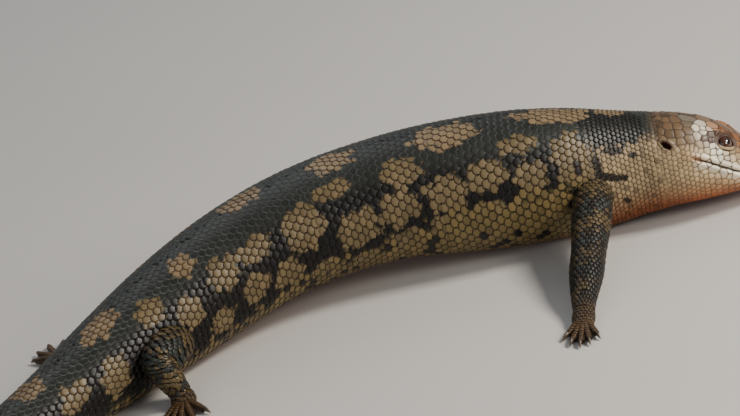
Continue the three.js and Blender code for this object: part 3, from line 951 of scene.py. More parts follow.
LIMBS: tuple[LimbPlan, ...] = (
    LimbPlan(
        "foreleg_right",
        Side.RIGHT,
        74,
        joints((1, 8, 21, 8, 8), (0, 25, 20, 7.6, 7.8), (-2, 38, 16, 7.2, 7.2), (-4, 49, 12, 6.4, 6.4)),
        joints((-6, 59, 8.4, 6.2, 6.0), (-8, 70, 4.8, 4.6, 4.2), (-8.5, 76, 3.4, 3.8, 3.2)),
        Joint(-9, 80, 2.6, 4.2, 2.7),
        -8,
        (-32, -14, 0, 13, 30),
        (7, 9.5, 10.5, 9.5, 7.5),
        1.5,
    ),
    LimbPlan(
        "foreleg_left",
        Side.LEFT,
        74,
        joints(
            (2, 8, 21, 8, 8), (0, 24, 18.5, 7.6, 7.8), (-5, 35, 14.5, 7.2, 7.2), (-10, 43, 11, 6.4, 6.4)
        ),
        joints((-1, 48, 8.2, 6.2, 6.0), (9, 51, 4.8, 4.6, 4.2), (15, 52, 3.4, 3.8, 3.2)),
        Joint(19, 52.6, 2.6, 4.4, 2.7),
        76,
        (-40, -19, 0, 19, 42),
        (7.5, 10, 11, 10, 8),
        1.5,
    ),
    LimbPlan(
        "hind_leg_right",
        Side.RIGHT,
        266,
        joints(
            (5, 6, 15, 9, 8.5), (1, 16, 16.5, 9.2, 8.4), (-5, 22, 18, 7.8, 7.6), (-10, 24.5, 17.8, 6.4, 6.4)
        ),
        joints((-10, 26.5, 12.5, 5.8, 5.4), (-9, 28, 7, 4.8, 4.4), (-8.5, 29.5, 4, 4.3, 3.4)),
        Joint(-10, 32, 2.7, 4.8, 2.8),
        -44,
        (-38, -18, 0, 20, 48),
        (7.5, 10, 11, 10.5, 8),
        1.6,
    ),
    LimbPlan(
        "hind_leg_left",
        Side.LEFT,
        270,
        joints((-5, 6, 16, 9, 8.5), (0, 17, 16, 9.4, 8.8), (7, 27, 13.5, 8, 8), (12, 34, 11.5, 6.6, 6.6)),
        joints((6, 39, 8.6, 6.0, 5.6), (-2, 42, 5.4, 4.9, 4.5), (-7, 44, 3.8, 4.4, 3.4)),
        Joint(-9.5, 47, 2.7, 5.0, 2.8),
        20,
        (-42, -20, 0, 22, 50),
        (8, 11, 12.5, 12, 9),
        1.6,
    ),
)


class Tube:
    """A rounded tube through stations, such as a length of leg, a toe or a claw."""

    caps = (-1.0, -0.97, -0.88, -0.7, -0.4)
    bluntness = 0.8

    def __init__(self, places: Sequence[Array], half: Sequence[float], tall: Sequence[float]) -> None:
        """Sets the tube through its stations.

        Args:
            places: The stations' places, in millimetres.
            half: The tube's half width at each.
            tall: The tube's half height at each.
        """
        self.places = np.array(places, float)
        self.half = np.array(half, float)
        self.tall = np.array(tall, float)
        self.last = len(self.places) - 1
        fine = np.linspace(0, self.last, 60)
        self.length = float(np.linalg.norm(np.diff(self.centre(fine), axis=0), axis=1).sum())

    def centre(self, t: Array) -> Array:
        """Points of the middle line, a Catmull-Rom curve through the stations.

        Args:
            t: Ways along, in stations.

        Returns:
            The points, in millimetres.
        """
        ends = [2 * self.places[0] - self.places[1]], [2 * self.places[-1] - self.places[-2]]
        knots = np.concatenate([ends[0], self.places, ends[1]])
        t = np.clip(np.asarray(t, float), 0, self.last)
        i = np.minimum(np.floor(t).astype(int), self.last - 1)
        u = (t - i)[..., None]
        a, b, c, d = knots[i], knots[i + 1], knots[i + 2], knots[i + 3]
        slope = (c - a) / 2
        curve = (2 * a - 5 * b + 4 * c - d) / 2
        return b + slope * u + curve * u**2 + (3 * b - 3 * c + d - a) / 2 * u**3

    def read(self, values: Array, t: Array) -> Array:
        """A station size, read smoothly along the tube."""
        return blend(np.arange(self.last + 1, dtype=float), values, np.clip(t, 0, self.last))

    def point(self, t: Array, turn: Array, grow: Array | float = 0) -> Array:
        """Points of the tube's surface.

        Args:
            t: Ways along, in stations, under 0 and past the last station on the rounded ends.
            turn: Turns round the tube, 0 on top and -1 or 1 underneath.
            grow: How far outside the surface the points are.

        Returns:
            The points, in millimetres.
        """
        t = np.asarray(t, float)
        inside = np.clip(t, 0, self.last)
        over = np.clip(t - inside, -1, 1)
        ahead = self.centre(inside + 0.01) - self.centre(inside - 0.01)
        forward = unit(ahead)
        side = unit(np.cross([0.0, 0.0, 1.0], forward))
        up = np.cross(forward, side)
        half, tall = self.read(self.half, inside) + grow, self.read(self.tall, inside) + grow
        scale = np.sqrt(np.maximum(1 - over**2, 0))
        beyond = over * np.minimum(half, tall) * self.bluntness
        angle = (turn + 0.5) * math.pi
        made = (
            self.centre(inside)
            + forward * beyond[..., None]
            + side * (np.cos(angle) * half * scale)[..., None]
            + up * (np.sin(angle) * tall * scale)[..., None]
        )
        made[..., 2] = np.maximum(made[..., 2], FLOOR_CLEAR)
        return made

    def rows(self, step: float) -> Array:
        """Ways along for rings about a step apart, with the rounded ends."""
        body = np.linspace(0, self.last, max(int(self.length / step), 3) + 1)
        return np.concatenate([self.caps, body, self.last - np.array(self.caps[::-1])])


@dataclass
class Limb:
    """A leg's lengths as tubes: upper, lower, palm, toes and claws."""

    plan: LimbPlan
    form: BodyForm
    knuckle: tuple[float, float, float, float] = (0.8, 1.8, 0.9, 2)
    toe_root: Range = (0.55, 2.2)
    toe_line: tuple[Range, ...] = ((0.35, 1.5), (0.7, 1.15), (1, 0.9))
    toe_half: tuple[float, ...] = (1.15, 0.98, 0.9, 0.8)
    toe_tall: tuple[float, ...] = (1.15, 1.0, 0.9, 0.8)
    claw_long: float = 3.4
    claw_root: float = 0.8
    claw_line: tuple[Range, ...] = ((0.30, 1.12), (0.70, 0.85))
    claw_half: tuple[float, ...] = (0.85, 0.68, 0.425, 0.12)
    claw_tall: tuple[float, ...] = (1.02, 0.935, 0.595, 0.15)
    claw_drop: float = 0.9

    def __post_init__(self) -> None:
        """Sets out the leg's tubes from its plan."""
        plan = self.plan
        self.root, self.forward, left = self.form.spine(np.array(float(plan.at)))
        self.out = left * plan.side.value
        stations = plan.upper + plan.lower
        places = [self.placed(joint) for joint in stations]
        self.leg = Tube(places, [j.half for j in stations], [j.tall for j in stations])
        last, half = plan.lower[-1], plan.palm.half
        wrist, centre = self.placed(last), self.placed(plan.palm)
        share, low, narrow, thin = self.knuckle
        reach = float(np.linalg.norm((centre - wrist)[:2]))
        knuckles = centre + self.way(plan.facing) * reach * share
        knuckles[2] = low
        self.palm = Tube(
            [wrist, centre, knuckles], [last.half, half, half * narrow], [last.tall, plan.palm.tall, thin]
        )
        digits = [self.digit(centre, spread, long) for spread, long in zip(plan.fan, plan.toes)]
        self.toes = [toe for toe, _ in digits]
        self.claws = [claw for _, claw in digits]

    def placed(self, joint: Joint) -> Array:
        """A station's place, in millimetres."""
        flat = self.root + self.forward * joint.forward + self.out * joint.outward
        return np.array([*flat, joint.up])

    def way(self, degrees: float) -> Array:
        """The level way at an angle forward of straight out."""
        turn = math.radians(degrees)
        return np.array([*(self.out * math.cos(turn) + self.forward * math.sin(turn)), 0.0])

    def digit(self, centre: Array, spread: float, long: float) -> tuple[Tube, Tube]:
        """Makes one toe and its claw.

        Args:
            centre: The palm's middle.
            spread: The toe's angle from the way that the foot points.
            long: The toe's length.

        Returns:
            The toe's tube and the claw's.
        """
        thick = self.plan.thick
        heading = self.way(self.plan.facing + spread)
        root, up = self.toe_root
        start = centre + heading * self.plan.palm.half * root

        def along(distance: float, height: float) -> Array:
            """A place over the toe's line on the floor."""
            return np.array([*(start + heading * distance)[:2], height])

        toe = [along(0, up)] + [along(long * share, thick * high) for share, high in self.toe_line]
        claw = [along(long - self.claw_root, thick)]
        claw += [along(long + self.claw_long * share, thick * high) for share, high in self.claw_line]
        claw.append(along(long + self.claw_long, thick - self.claw_drop))
        halves, talls = ([thick * size for size in sizes] for sizes in (self.toe_half, self.toe_tall))
        return Tube(toe, halves, talls), Tube(claw, self.claw_half, self.claw_tall)

    def flesh(self) -> list[tuple[Tube, float, int]]:
        """The leg's tubes of flesh, each with its ring step and its sides."""
        return [(self.leg, 1.2, 30), (self.palm, 1.0, 24), *((toe, 0.8, 14) for toe in self.toes)]


class Signal:
    """A shader value that Python's operators turn into Math nodes."""

    def __init__(self, board: "Board", socket: bpy.types.NodeSocket) -> None:
        """Keeps the socket and the board that new nodes go on."""
        self.board = board
        self.socket = socket

    def _math(self, operation: str, first: object, second: object) -> "Signal":
        """A Math node on two values."""
        return self.board.node("ShaderNodeMath", {"operation": operation}, {0: first, 1: second})

    def __add__(self, other: "Signal | float") -> "Signal":
        """Self and other added."""
        return self._math("ADD", self, other)

    __radd__ = __add__

    def __sub__(self, other: "Signal | float") -> "Signal":
        """Other taken from self."""
        return self._math("SUBTRACT", self, other)

    def __rsub__(self, other: "Signal | float") -> "Signal":
        """Self taken from other."""
        return self._math("SUBTRACT", other, self)

    def __mul__(self, other: "Signal | float") -> "Signal":
        """Self times other."""
        return self._math("MULTIPLY", self, other)

    __rmul__ = __mul__

    def __truediv__(self, other: "Signal | float") -> "Signal":
        """Self over other."""
        return self._math("DIVIDE", self, other)

    def __rtruediv__(self, other: "Signal | float") -> "Signal":
        """Other over self."""
        return self._math("DIVIDE", other, self)

    def __pow__(self, other: "Signal | float") -> "Signal":
        """Self to a power."""
        return self._math("POWER", self, other)

    def __rpow__(self, other: "Signal | float") -> "Signal":
        """Other to the power of self."""
        return self._math("POWER", other, self)

    def most(self, other: "Signal | float") -> "Signal":
        """The larger of self and other."""
        return self._math("MAXIMUM", self, other)

    def absolute(self) -> "Signal":
        """Self without its sign."""
        return self._math("ABSOLUTE", self, 0.0)

    def step(self, low: float, high: float) -> "Signal":
        """An easy step from 0 at low to 1 at high."""
        settings = {"interpolation_type": "SMOOTHSTEP", "clamp": True}
        return self.board.node("ShaderNodeMapRange", settings, {0: self, 1: low, 2: high})


class Board:
    """A material's nodes, laid by short calls."""

    def __init__(self, name: str) -> None:
        """Starts a material that holds one shader.

        Args:
            name: The material's name.
        """
        self.material = bpy.data.materials.new(name)
        self.material.use_nodes = True
        self.nodes = self.material.node_tree.nodes
        self.links = self.material.node_tree.links
        self.shader = self.nodes["Principled BSDF"]

    def node(self, kind: str, settings: dict, inputs: dict, output: int | str = 0) -> Signal:
        """Lays one node.

        Args:
            kind: The node's type.
            settings: Its own settings, set before its sockets.
            inputs: Its sockets' values, or the signals that feed them.
            output: Which of its sockets to hand back.

        Returns:
            The chosen output.
        """
        made = self.nodes.new(kind)
        for name, value in settings.items():
            setattr(made, name, value)
        for key, value in inputs.items():
            self.feed(made.inputs[key], value)
        return Signal(self, made.outputs[output])

    def feed(self, socket: bpy.types.NodeSocket, value: object) -> None:
        """Links a signal to a socket, or sets the socket's plain value.

        Args:
            socket: The input to feed.
            value: A signal, or a plain value.
        """
        if isinstance(value, Signal):
            self.links.new(value.socket, socket)
        else:
            socket.default_value = value

    def attribute(self, name: str, output: str = "Color") -> Signal:
        """A mesh's own attribute."""
        return self.node("ShaderNodeAttribute", {"attribute_name": name}, {}, output)

    def part(self, vector: Signal, axis: int) -> Signal:
        """One of a vector's three parts."""
        return self.node("ShaderNodeSeparateXYZ", {}, {0: vector}, axis)

    def place(self) -> Signal:
        """The object's own coordinates, in metres."""
        return self.node("ShaderNodeTexCoord", {}, {}, "Object")

    def noise(self, scale: float, detail: float = 3, rough: float = 0.55) -> Signal:
        """Soft noise in the object's own space."""
        inputs = {"Vector": self.place(), "Scale": scale, "Detail": detail, "Roughness": rough}
        return self.node("ShaderNodeTexNoise", {}, inputs)

    def mix(self, first: object, second: object, share: object) -> Signal:
        """Two colours mixed by a share of the second."""
        settings = {"data_type": "RGBA", "clamp_factor": True}
        return self.node("ShaderNodeMix", settings, {0: share, 6: first, 7: second}, 2)

    def dim(self, colour: object, amount: Signal) -> Signal:
        """A colour times an amount."""
        return self.node("ShaderNodeVectorMath", {"operation": "SCALE"}, {0: colour, 3: amount})

    def bump(self, height: Signal, strength: float, depth: float) -> Signal:
        """A normal that follows a height."""
        inputs = {"Strength": strength, "Distance": depth, "Height": height}
        return self.node("ShaderNodeBump", {}, inputs)

    def finish(self, plain: dict, fed: dict) -> bpy.types.Material:
        """Sets the shader's plain sockets and feeds those that vary.

        Args:
            plain: Values by the shader's socket names.
            fed: Signals by the shader's socket names.

        Returns:
            The finished material.
        """
        for key, value in {**plain, **fed}.items():
            self.feed(self.shader.inputs[key], value)
        return self.material


@dataclass(frozen=True)
class ScaleFinish:
    """Satin scales with a thin rim of another colour, near-black corner dots that are partly painted shade,
    and a fine grain.
    """

    name: str
    roughness: float = 0.44
    gloss: float = 0.06
    rim_from: float = 0.80
    rim_to: float = 0.95

    def make(self) -> bpy.types.Material:
        """Lays the finish's nodes.

        Returns:
            The material.
        """
        board = Board(self.name)
        place = board.attribute("place", "Vector")
        across, along, outlined = (board.part(place, axis) for axis in range(3))
        rim = (across.absolute() * outlined).most(along).step(self.rim_from, self.rim_to)
        # Near-black dots where the scales' sides meet: partly dark flecks of the pattern, partly painted
        # shade in the gaps.
        corner = (across.absolute() - 0.86) ** 2 + (along - 0.68) ** 2
        colour = board.mix(board.attribute("paint"), board.attribute("rim"), rim)
        colour = board.mix(colour, (0.006, 0.005, 0.003, 1), corner.step(0.034, 0.008) * outlined)
        cloud = board.noise(260, 4)
        grain = board.noise(1700, 3)
        colour = board.dim(colour, 0.72 + cloud * 0.34 + grain * 0.22)
        height = grain * 0.6 + board.noise(3600, 2) * 0.4
        fed = {
            "Base Color": colour,
            "Roughness": self.roughness - 0.08 + cloud * 0.16 + rim * 0.12,
            "Normal": board.bump(height, 0.35, 0.00012),
        }
        return board.finish({"Coat Weight": self.gloss, "Coat Roughness": 0.25, "IOR": 1.38}, fed)


@dataclass(frozen=True)
class SkinFinish:
    """The bare skin between scales, on lids, lips and in the cups, fine and matt."""

    name: str
    roughness: float = 0.5

    def make(self) -> bpy.types.Material:
        """Lays the finish's nodes.

        Returns:
            The material.
        """
        board = Board(self.name)
        grain = board.noise(1300, 4)
        colour = board.dim(board.attribute("paint"), 0.68 + grain * 0.6)
        fed = {
            "Base Color": colour,
            "Roughness": self.roughness - 0.06 + grain * 0.14,
            "Normal": board.bump(grain, 0.45, 0.0002),
        }
        return board.finish({"IOR": 1.45}, fed)


@dataclass(frozen=True)
class ClawFinish:
    """Dark brown horn, streaked along and glossy."""

    name: str = "claw_horn"

    def make(self) -> bpy.types.Material:
        """Lays the finish's nodes.

        Returns:
            The material.
        """
        board = Board(self.name)
        streak = board.noise(900, 3)
        tip = board.attribute("tip", "Fac")
        base = board.mix((0.030, 0.018, 0.010, 1), (0.11, 0.075, 0.045, 1), tip)
        fed = {
            "Base Color": board.dim(base, 0.7 + streak * 0.6),
            "Roughness": 0.28 + streak * 0.14,
            "Normal": board.bump(streak, 0.3, 0.0001),
        }
        return board.finish({"IOR": 1.5, "Coat Weight": 0.2, "Coat Roughness": 0.2}, fed)


@dataclass(frozen=True)
class EyeFinish:
    """A wet eye: dark round pupil, brown-red iris with fine spokes, dark rim."""

    name: str
    centre: Colour
    out: Colour
    radius: float
    pupil: float = 1.25
    iris: float = 2.5

    def make(self) -> bpy.types.Material:
        """Lays the finish's nodes.

        Returns:
            The material.
        """
        board = Board(self.name)
        away = board.node(
            "ShaderNodeVectorMath", {"operation": "SUBTRACT"}, {0: board.place(), 1: self.centre}
        )
        depth = board.node("ShaderNodeVectorMath", {"operation": "DOT_PRODUCT"}, {0: away, 1: self.out}, 1)
        reach = board.node("ShaderNodeVectorMath", {"operation": "LENGTH"}, {0: away}, 1)
        ring = (reach * reach - depth * depth).most(0.0) ** 0.5 / (self.radius * MM)
        front = depth.step(0.0, 0.0004)
        spokes = board.noise(2300, 4)
        iris = board.mix((0.085, 0.026, 0.012, 1), (0.028, 0.010, 0.005, 1), spokes)
        bright = board.mix(iris, (0.17, 0.075, 0.030, 1), ring.step(0.50, 0.40) * 0.5)
        dark = (0.004, 0.003, 0.003, 1)
        pupil, rim = self.pupil / self.radius, self.iris / self.radius
        colour = board.mix(bright, dark, ring.step(rim - 0.05, rim + 0.06))
        colour = board.mix(dark, colour, ring.step(pupil - 0.02, pupil + 0.03) * front)
        fed = {"Base Color": colour}
        plain = {"Roughness": 0.08, "Coat Weight": 1.0, "Coat Roughness": 0.02, "IOR": 1.4}
        return board.finish(plain, fed)


@dataclass(frozen=True)
class FloorFinish:
    """A plain pale floor with a faint tone."""

    name: str = "floor_paper"
    colour: Colour = (0.60, 0.58, 0.55)

    def make(self) -> bpy.types.Material:
        """Lays the finish's nodes.

        Returns:
            The material.
        """
        board = Board(self.name)
        tone = board.noise(6, 2)
        fed = {"Base Color": board.dim((*self.colour,), 0.96 + tone * 0.08)}
        return board.finish({"Roughness": 0.85}, fed)


@dataclass
class ScaleShape:
    """One scale as a small shingle: its root tucked under, its rear edge round and raised."""

    across: int = 6
    along: int = 5
    rear: float = 0.36
    dome: float = 0.14
    thick: float = 0.30

    def make(self) -> tuple[Array, Array, Array]:
        """Shapes the scale.

        Returns:
            Its vertices (across from -1 to 1, along from 0 to 1, height from 0 to 1), its rim values
            (across and along as the finish reads them) and its four-sided faces.
        """
        bm = bmesh.new()
        bmesh.ops.create_grid(bm, x_segments=self.across, y_segments=self.along, size=1)
        rims = bm.verts.layers.float_vector.new("rim")
        for vertex in bm.verts:
            u, v = vertex.co.x, (vertex.co.y + 1) / 2
            u = math.sin(u * math.pi / 2) * 0.35 + u * 0.65
            v = v ** 0.82
            vertex[rims] = (u, v, 0)
            width = 0.80 + 0.20 * math.sin(min(v / 0.55, 1) * math.pi / 2)
            edge = 1 - self.rear * abs(u) ** 2.4
            raised = math.sin(min(v / 0.9, 1) * math.pi / 2) ** 0.9 if v > 0 else 0
            lip = 1 - 0.30 * max((v - 0.86) / 0.14, 0) ** 2 - 0.22 * max((abs(u) - 0.8) / 0.2, 0) ** 2
            height = raised * (1 - self.dome * u * u) * lip
            vertex.co = (u * width, v * edge, height)
        border = [e for e in bm.edges if e.is_boundary]
        skirt = bmesh.ops.extrude_edge_only(bm, edges=border)["geom"]
        for vertex in (g for g in skirt if isinstance(g, bmesh.types.BMVert)):
            vertex.co = (vertex.co.x * 0.94, 0.04 + vertex.co.y * 0.93, vertex.co.z - self.thick - 0.75)
        bmesh.ops.recalc_face_normals(bm, faces=bm.faces)
        bm.verts.index_update()
        if sum(f.normal.z for f in bm.faces) < 0:
            bmesh.ops.reverse_faces(bm, faces=bm.faces)
        points = np.array([v.co[:] for v in bm.verts])
        rim = np.array([v[rims][:] for v in bm.verts])
        faces = np.array([[v.index for v in f.verts] for f in bm.faces])
        bm.free()
        return points, rim, faces


@dataclass
class Rows:
    """Places for scales in staggered rows, with all that lays and paints each scale."""

    along: Array
    turn: Array
    long: Array
    wide: Array
    high: Array
    paint: Array
    rim: Array
    chart: Array
    outlined: Array
    surface: Callable[[Array, Array, Array], Array]
    base: float = -COAT_DEPTH

    def keep(self, mask: Array) -> "Rows":
        """The same rows with only the scales that a mask keeps.

        Args:
            mask: Whether each scale is kept.

        Returns:
            The rows that are left.
        """
        names = ("along", "turn", "long", "wide", "high", "paint", "rim", "chart", "outlined")
        kept = {name: getattr(self, name)[mask] for name in names}
        return Rows(**kept, surface=self.surface, base=self.base)

    def centres(self, lift: float) -> Array:
        """The middle of each scale, lifted off the skin."""
        return self.surface(self.along + self.long * 0.5, self.turn, np.full(self.along.shape, lift))


class CoatMaker:
    """Lays scales on a surface and joins them into one piece."""

    patch = 0.003

    def __init__(self, shape: ScaleShape) -> None:
        """Makes the one scale that is laid over and over."""
        self.points, self.rims, self.faces = shape.make()

    def lay(self, name: str, groups: Sequence[Rows]) -> bpy.types.Object:
        """Joins all the groups' scales into one object.

        Args:
            name: The object's name.
            groups: The rows of scales to lay.

        Returns:
            The coat piece, with its colours and its OFBake map.
        """
        places, paints, rims, rim_values, charts = [], [], [], [], []
        for rows in groups:
            u, v, h = self.points.T
            along = rows.along[:, None] + v * rows.long[:, None]
            turn = rows.turn[:, None] + u * rows.wide[:, None] / 2
            grow = rows.base + h * rows.high[:, None]
            places.append(rows.surface(along, turn, grow).reshape(-1, 3))
            count = len(self.points)
            for kept, values in ((paints, rows.paint), (rims, rows.rim)):
                each = values if values.ndim == 3 else values[:, None]
                kept.append(np.broadcast_to(each, (len(values), count, 3)).reshape(-1, 3))
            value = np.broadcast_to(self.rims, (len(rows.along), count, 3)).copy()
            value[..., 2] = rows.outlined[:, None]
            rim_values.append(value.reshape(-1, 3))
            patch = np.stack([v, u / 2 + 0.5], -1) * self.patch
            charts.append((rows.chart[:, None, :] + patch).reshape(-1, 2))
        vertices = np.concatenate(places) * MM
        total = len(vertices) // len(self.points)
        starts = (np.arange(total) * len(self.points))[:, None, None]
        faces = (self.faces + starts).reshape(-1, 4)
        mesh = bpy.data.meshes.new(name)
        mesh.from_pydata(vertices.tolist(), [], faces.tolist())
        mesh.polygons.foreach_set("use_smooth", np.full(len(faces), True))
        put(mesh, "paint", "FLOAT_COLOR", with_alpha(np.concatenate(paints)))
        put(mesh, "rim", "FLOAT_COLOR", with_alpha(np.concatenate(rims)))
        put(mesh, "place", "FLOAT_VECTOR", np.concatenate(rim_values))
        chart = mesh.uv_layers.new(name="OFBake")
        chart.data.foreach_set("uv", np.concatenate(charts)[faces.ravel()].astype(np.float32).ravel())
        made = bpy.data.objects.new(name, mesh)
        bpy.context.scene.collection.objects.link(made)
        return made


@dataclass
class BodyScales:
    """The body's rows of overlapping scales, from behind the head to the tail's tip."""

    form: BodyForm
    markings: Markings
    features: HeadRelief
    maker: CoatMaker
    columns: int = 42
    neck_columns: int = 62
    tail_from: float = 296
    overlap: float = 1.75
    high: float = 0.70
    pitches: Table = ((36, 66, 78, 95, 200, 290, 360, 445), (1.5, 1.65, 2.3, 2.7, 2.7, 2.5, 2.2, 1.4))
    highs: Table = ((43, 46.5, 70, 300, 445), (0.30, 0.85, 1, 1, 0.6))
    outlines: Table = ((50, 66, 80), (0.55, 0.7, 1.0))
    ear_clear: Oval = Oval(3.5, 2.5)

    def pitch(self, at: float) -> float:
        """How far apart the rows stand along the body."""
        return float(np.interp(at, *self.pitches))

    def rows(self, start: float, end: float, columns: int, seed: int) -> Rows:
        """Sets out the scales of one length of the body.

        Args:
            start: Where the first row is rooted.
            end: Where the last row is rooted.
            columns: How many scales go round.
            seed: The seed of the scales' small differences.

        Returns:
            The rows, coloured and mapped.
        """
        random = np.random.default_rng(seed)
        places, at, odd = [], start, 0
        while at < end:
            turns = -1 + (2 * np.arange(columns) + 1 + odd) / columns
            places += [(at, turn, self.pitch(at)) for turn in turns]
            at += self.pitch(at)
            odd = 1 - odd
        along, turn, pitch = np.array(places).T
        turn = np.where(turn > 1, turn - 2, turn)
        draw = random.random((len(along), 3))
        middle, middle_rim = self.markings.body(along + pitch * 0.9, turn, draw)
        size = 1 + (draw[:, 1] - 0.5) * 0.10
        long, wide = pitch * self.overlap * size, 2 / columns * 1.10
        across, down = self.maker.points[:, 0], self.maker.points[:, 1]
        at_points = along[:, None] + np.maximum(down, 0.4) * long[:, None]
        turn_points = turn[:, None] + across * wide / 2
        turn_points = np.where(np.abs(turn_points) > 1, turn_points - 2 * np.sign(turn_points), turn_points)
        each = np.repeat(draw, len(down), axis=0)
        paint, rim = self.markings.body(at_points.ravel(), turn_points.ravel(), each)
        uneven = along + (draw[:, 0] - 0.5) * 2.2 + 0.9 * np.sin(turn * 23)
        outlined = smooth(0.0, 0.05, middle.max(axis=1) - middle_rim.max(axis=1))
        return Rows(
            along=along + (draw[:, 0] - 0.5) * 0.15,
            turn=turn,
            long=long,
            wide=np.full(len(along), wide),
            high=self.high * (0.92 + 0.16 * draw[:, 2]) * np.interp(uneven, *self.highs),
            paint=paint.reshape(len(along), -1, 3),
            rim=rim.reshape(len(along), -1, 3),
            chart=self.form.chart(along, turn),
            outlined=outlined * np.interp(along, *self.outlines),
            surface=self.surface,
        )

    def surface(self, along: Array, turn: Array, grow: Array) -> Array:
        """Points over the body, kept off the tail's very end."""
        return self.form.point(np.clip(along, 0.05, self.form.length - 0.05), turn, grow)

    def open_ear(self, rows: Rows) -> Rows:
        """The rows without the scales that would cover the ears.

        Args:
            rows: Rows of scales on the body.

        Returns:
            The rows that are left.
        """
        points = rows.centres(0.0)
        clear = np.full(len(rows.along), True)
        for side in Side:
            reach, near = self.features.reach(points, self.features.ear, side, self.ear_clear)
            clear &= ~((reach < 1) & near)
        return rows.keep(clear)


@dataclass
class LimbScales:
    """A leg's scales: rows down each length and bands along the toes."""

    limb: Limb
    markings: Markings
    chart_from: tuple[float, float]
    pale: float
    loose: float
    high: float = 0.50

    def tube_rows(
        self, tube: Tube, pitch: float, columns: int, seed: int, foot: float, chart_row: float
    ) -> Rows:
        """Sets out the scales of one tube, evenly down each of its columns, round bends too.

        Args:
            tube: The length of leg, or a toe.
            pitch: How far apart the rows are.
            columns: How many scales go round; three on a toe, one of them along its top.
            seed: The seed of the scales' small differences.
            foot: How much of the foot's brown the scales have.
            chart_row: Where the rows go on the OFBake map, under the leg's own place.

        Returns:
            The rows, coloured and mapped.
        """
        random = np.random.default_rng(seed)
        toe = columns == 3
        ways = np.linspace(-0.1, tube.last + 0.1, 300)
        places, turns, longs = [], [], []
        for column in range(columns if toe else 2 * columns):
            turn = -1 + (2 * column + 1) / columns if toe else -1 + column / columns
            line = tube.point(ways, np.full(len(ways), turn))
            run = np.concatenate([[0.0], np.cumsum(np.linalg.norm(np.diff(line, axis=0), axis=1))])
            step = pitch if toe else 2 * pitch
            first = 0.0 if toe else (column % 2 + random.random() * self.loose) * pitch
            found = np.interp(np.arange(first, run[-1], step), run, ways)
            after = np.interp(np.interp(found, ways, run) + pitch * 1.7, run, ways)
            places.append(found)
            turns.append(np.full(len(found), turn))
            longs.append(np.maximum(after - found, 0.05))
        t, turn, long = (np.concatenate(part) for part in (places, turns, longs))
        draw = random.random((len(t), 3))
        brown = np.full(len(t), foot) if foot else smooth(0.78, 1.0, t / tube.last) * 0.6
        ahead = turn * self.limb.plan.side.value
        paint, rim = self.markings.leg(t / tube.last * tube.length, ahead, draw, brown, self.pale)
        size = 1 + (draw[:, 1] - 0.5) * 0.12
        down = self.chart_from[0] + t / tube.last * 0.10 + 0.005
        round_it = self.chart_from[1] + chart_row + (turn + 1) / 2 * 0.035
        return Rows(
            along=t,
            turn=turn,
            long=long * size,
            wide=np.full(len(t), 2 / columns * 1.12),
            high=self.high * (0.9 + 0.2 * draw[:, 2]) * (0.8 if foot else 1.0),
            paint=paint,
            rim=rim,
            chart=np.stack([down, round_it], -1),
            outlined=np.ones(len(t)),
            surface=tube.point,
            base=-0.34,
        )

    def groups(self, seed: int) -> list[Rows]:
        """All the leg's scales.

        Args:
            seed: The seed of the upper length; the others count on from it.

        Returns:
            The rows of the leg, of the palm and of each toe.
        """
        limb = self.limb
        made = [
            self.tube_rows(limb.leg, 1.75, 20, seed, 0.0, 0.0),
            self.tube_rows(limb.palm, 1.25, 17, seed + 2, 0.7, 0.08),
        ]
        for i, toe in enumerate(limb.toes):
            made.append(self.tube_rows(toe, 1.2, 3, seed + 3 + i, 0.95, 0.12 + 0.02 * i))
        return made


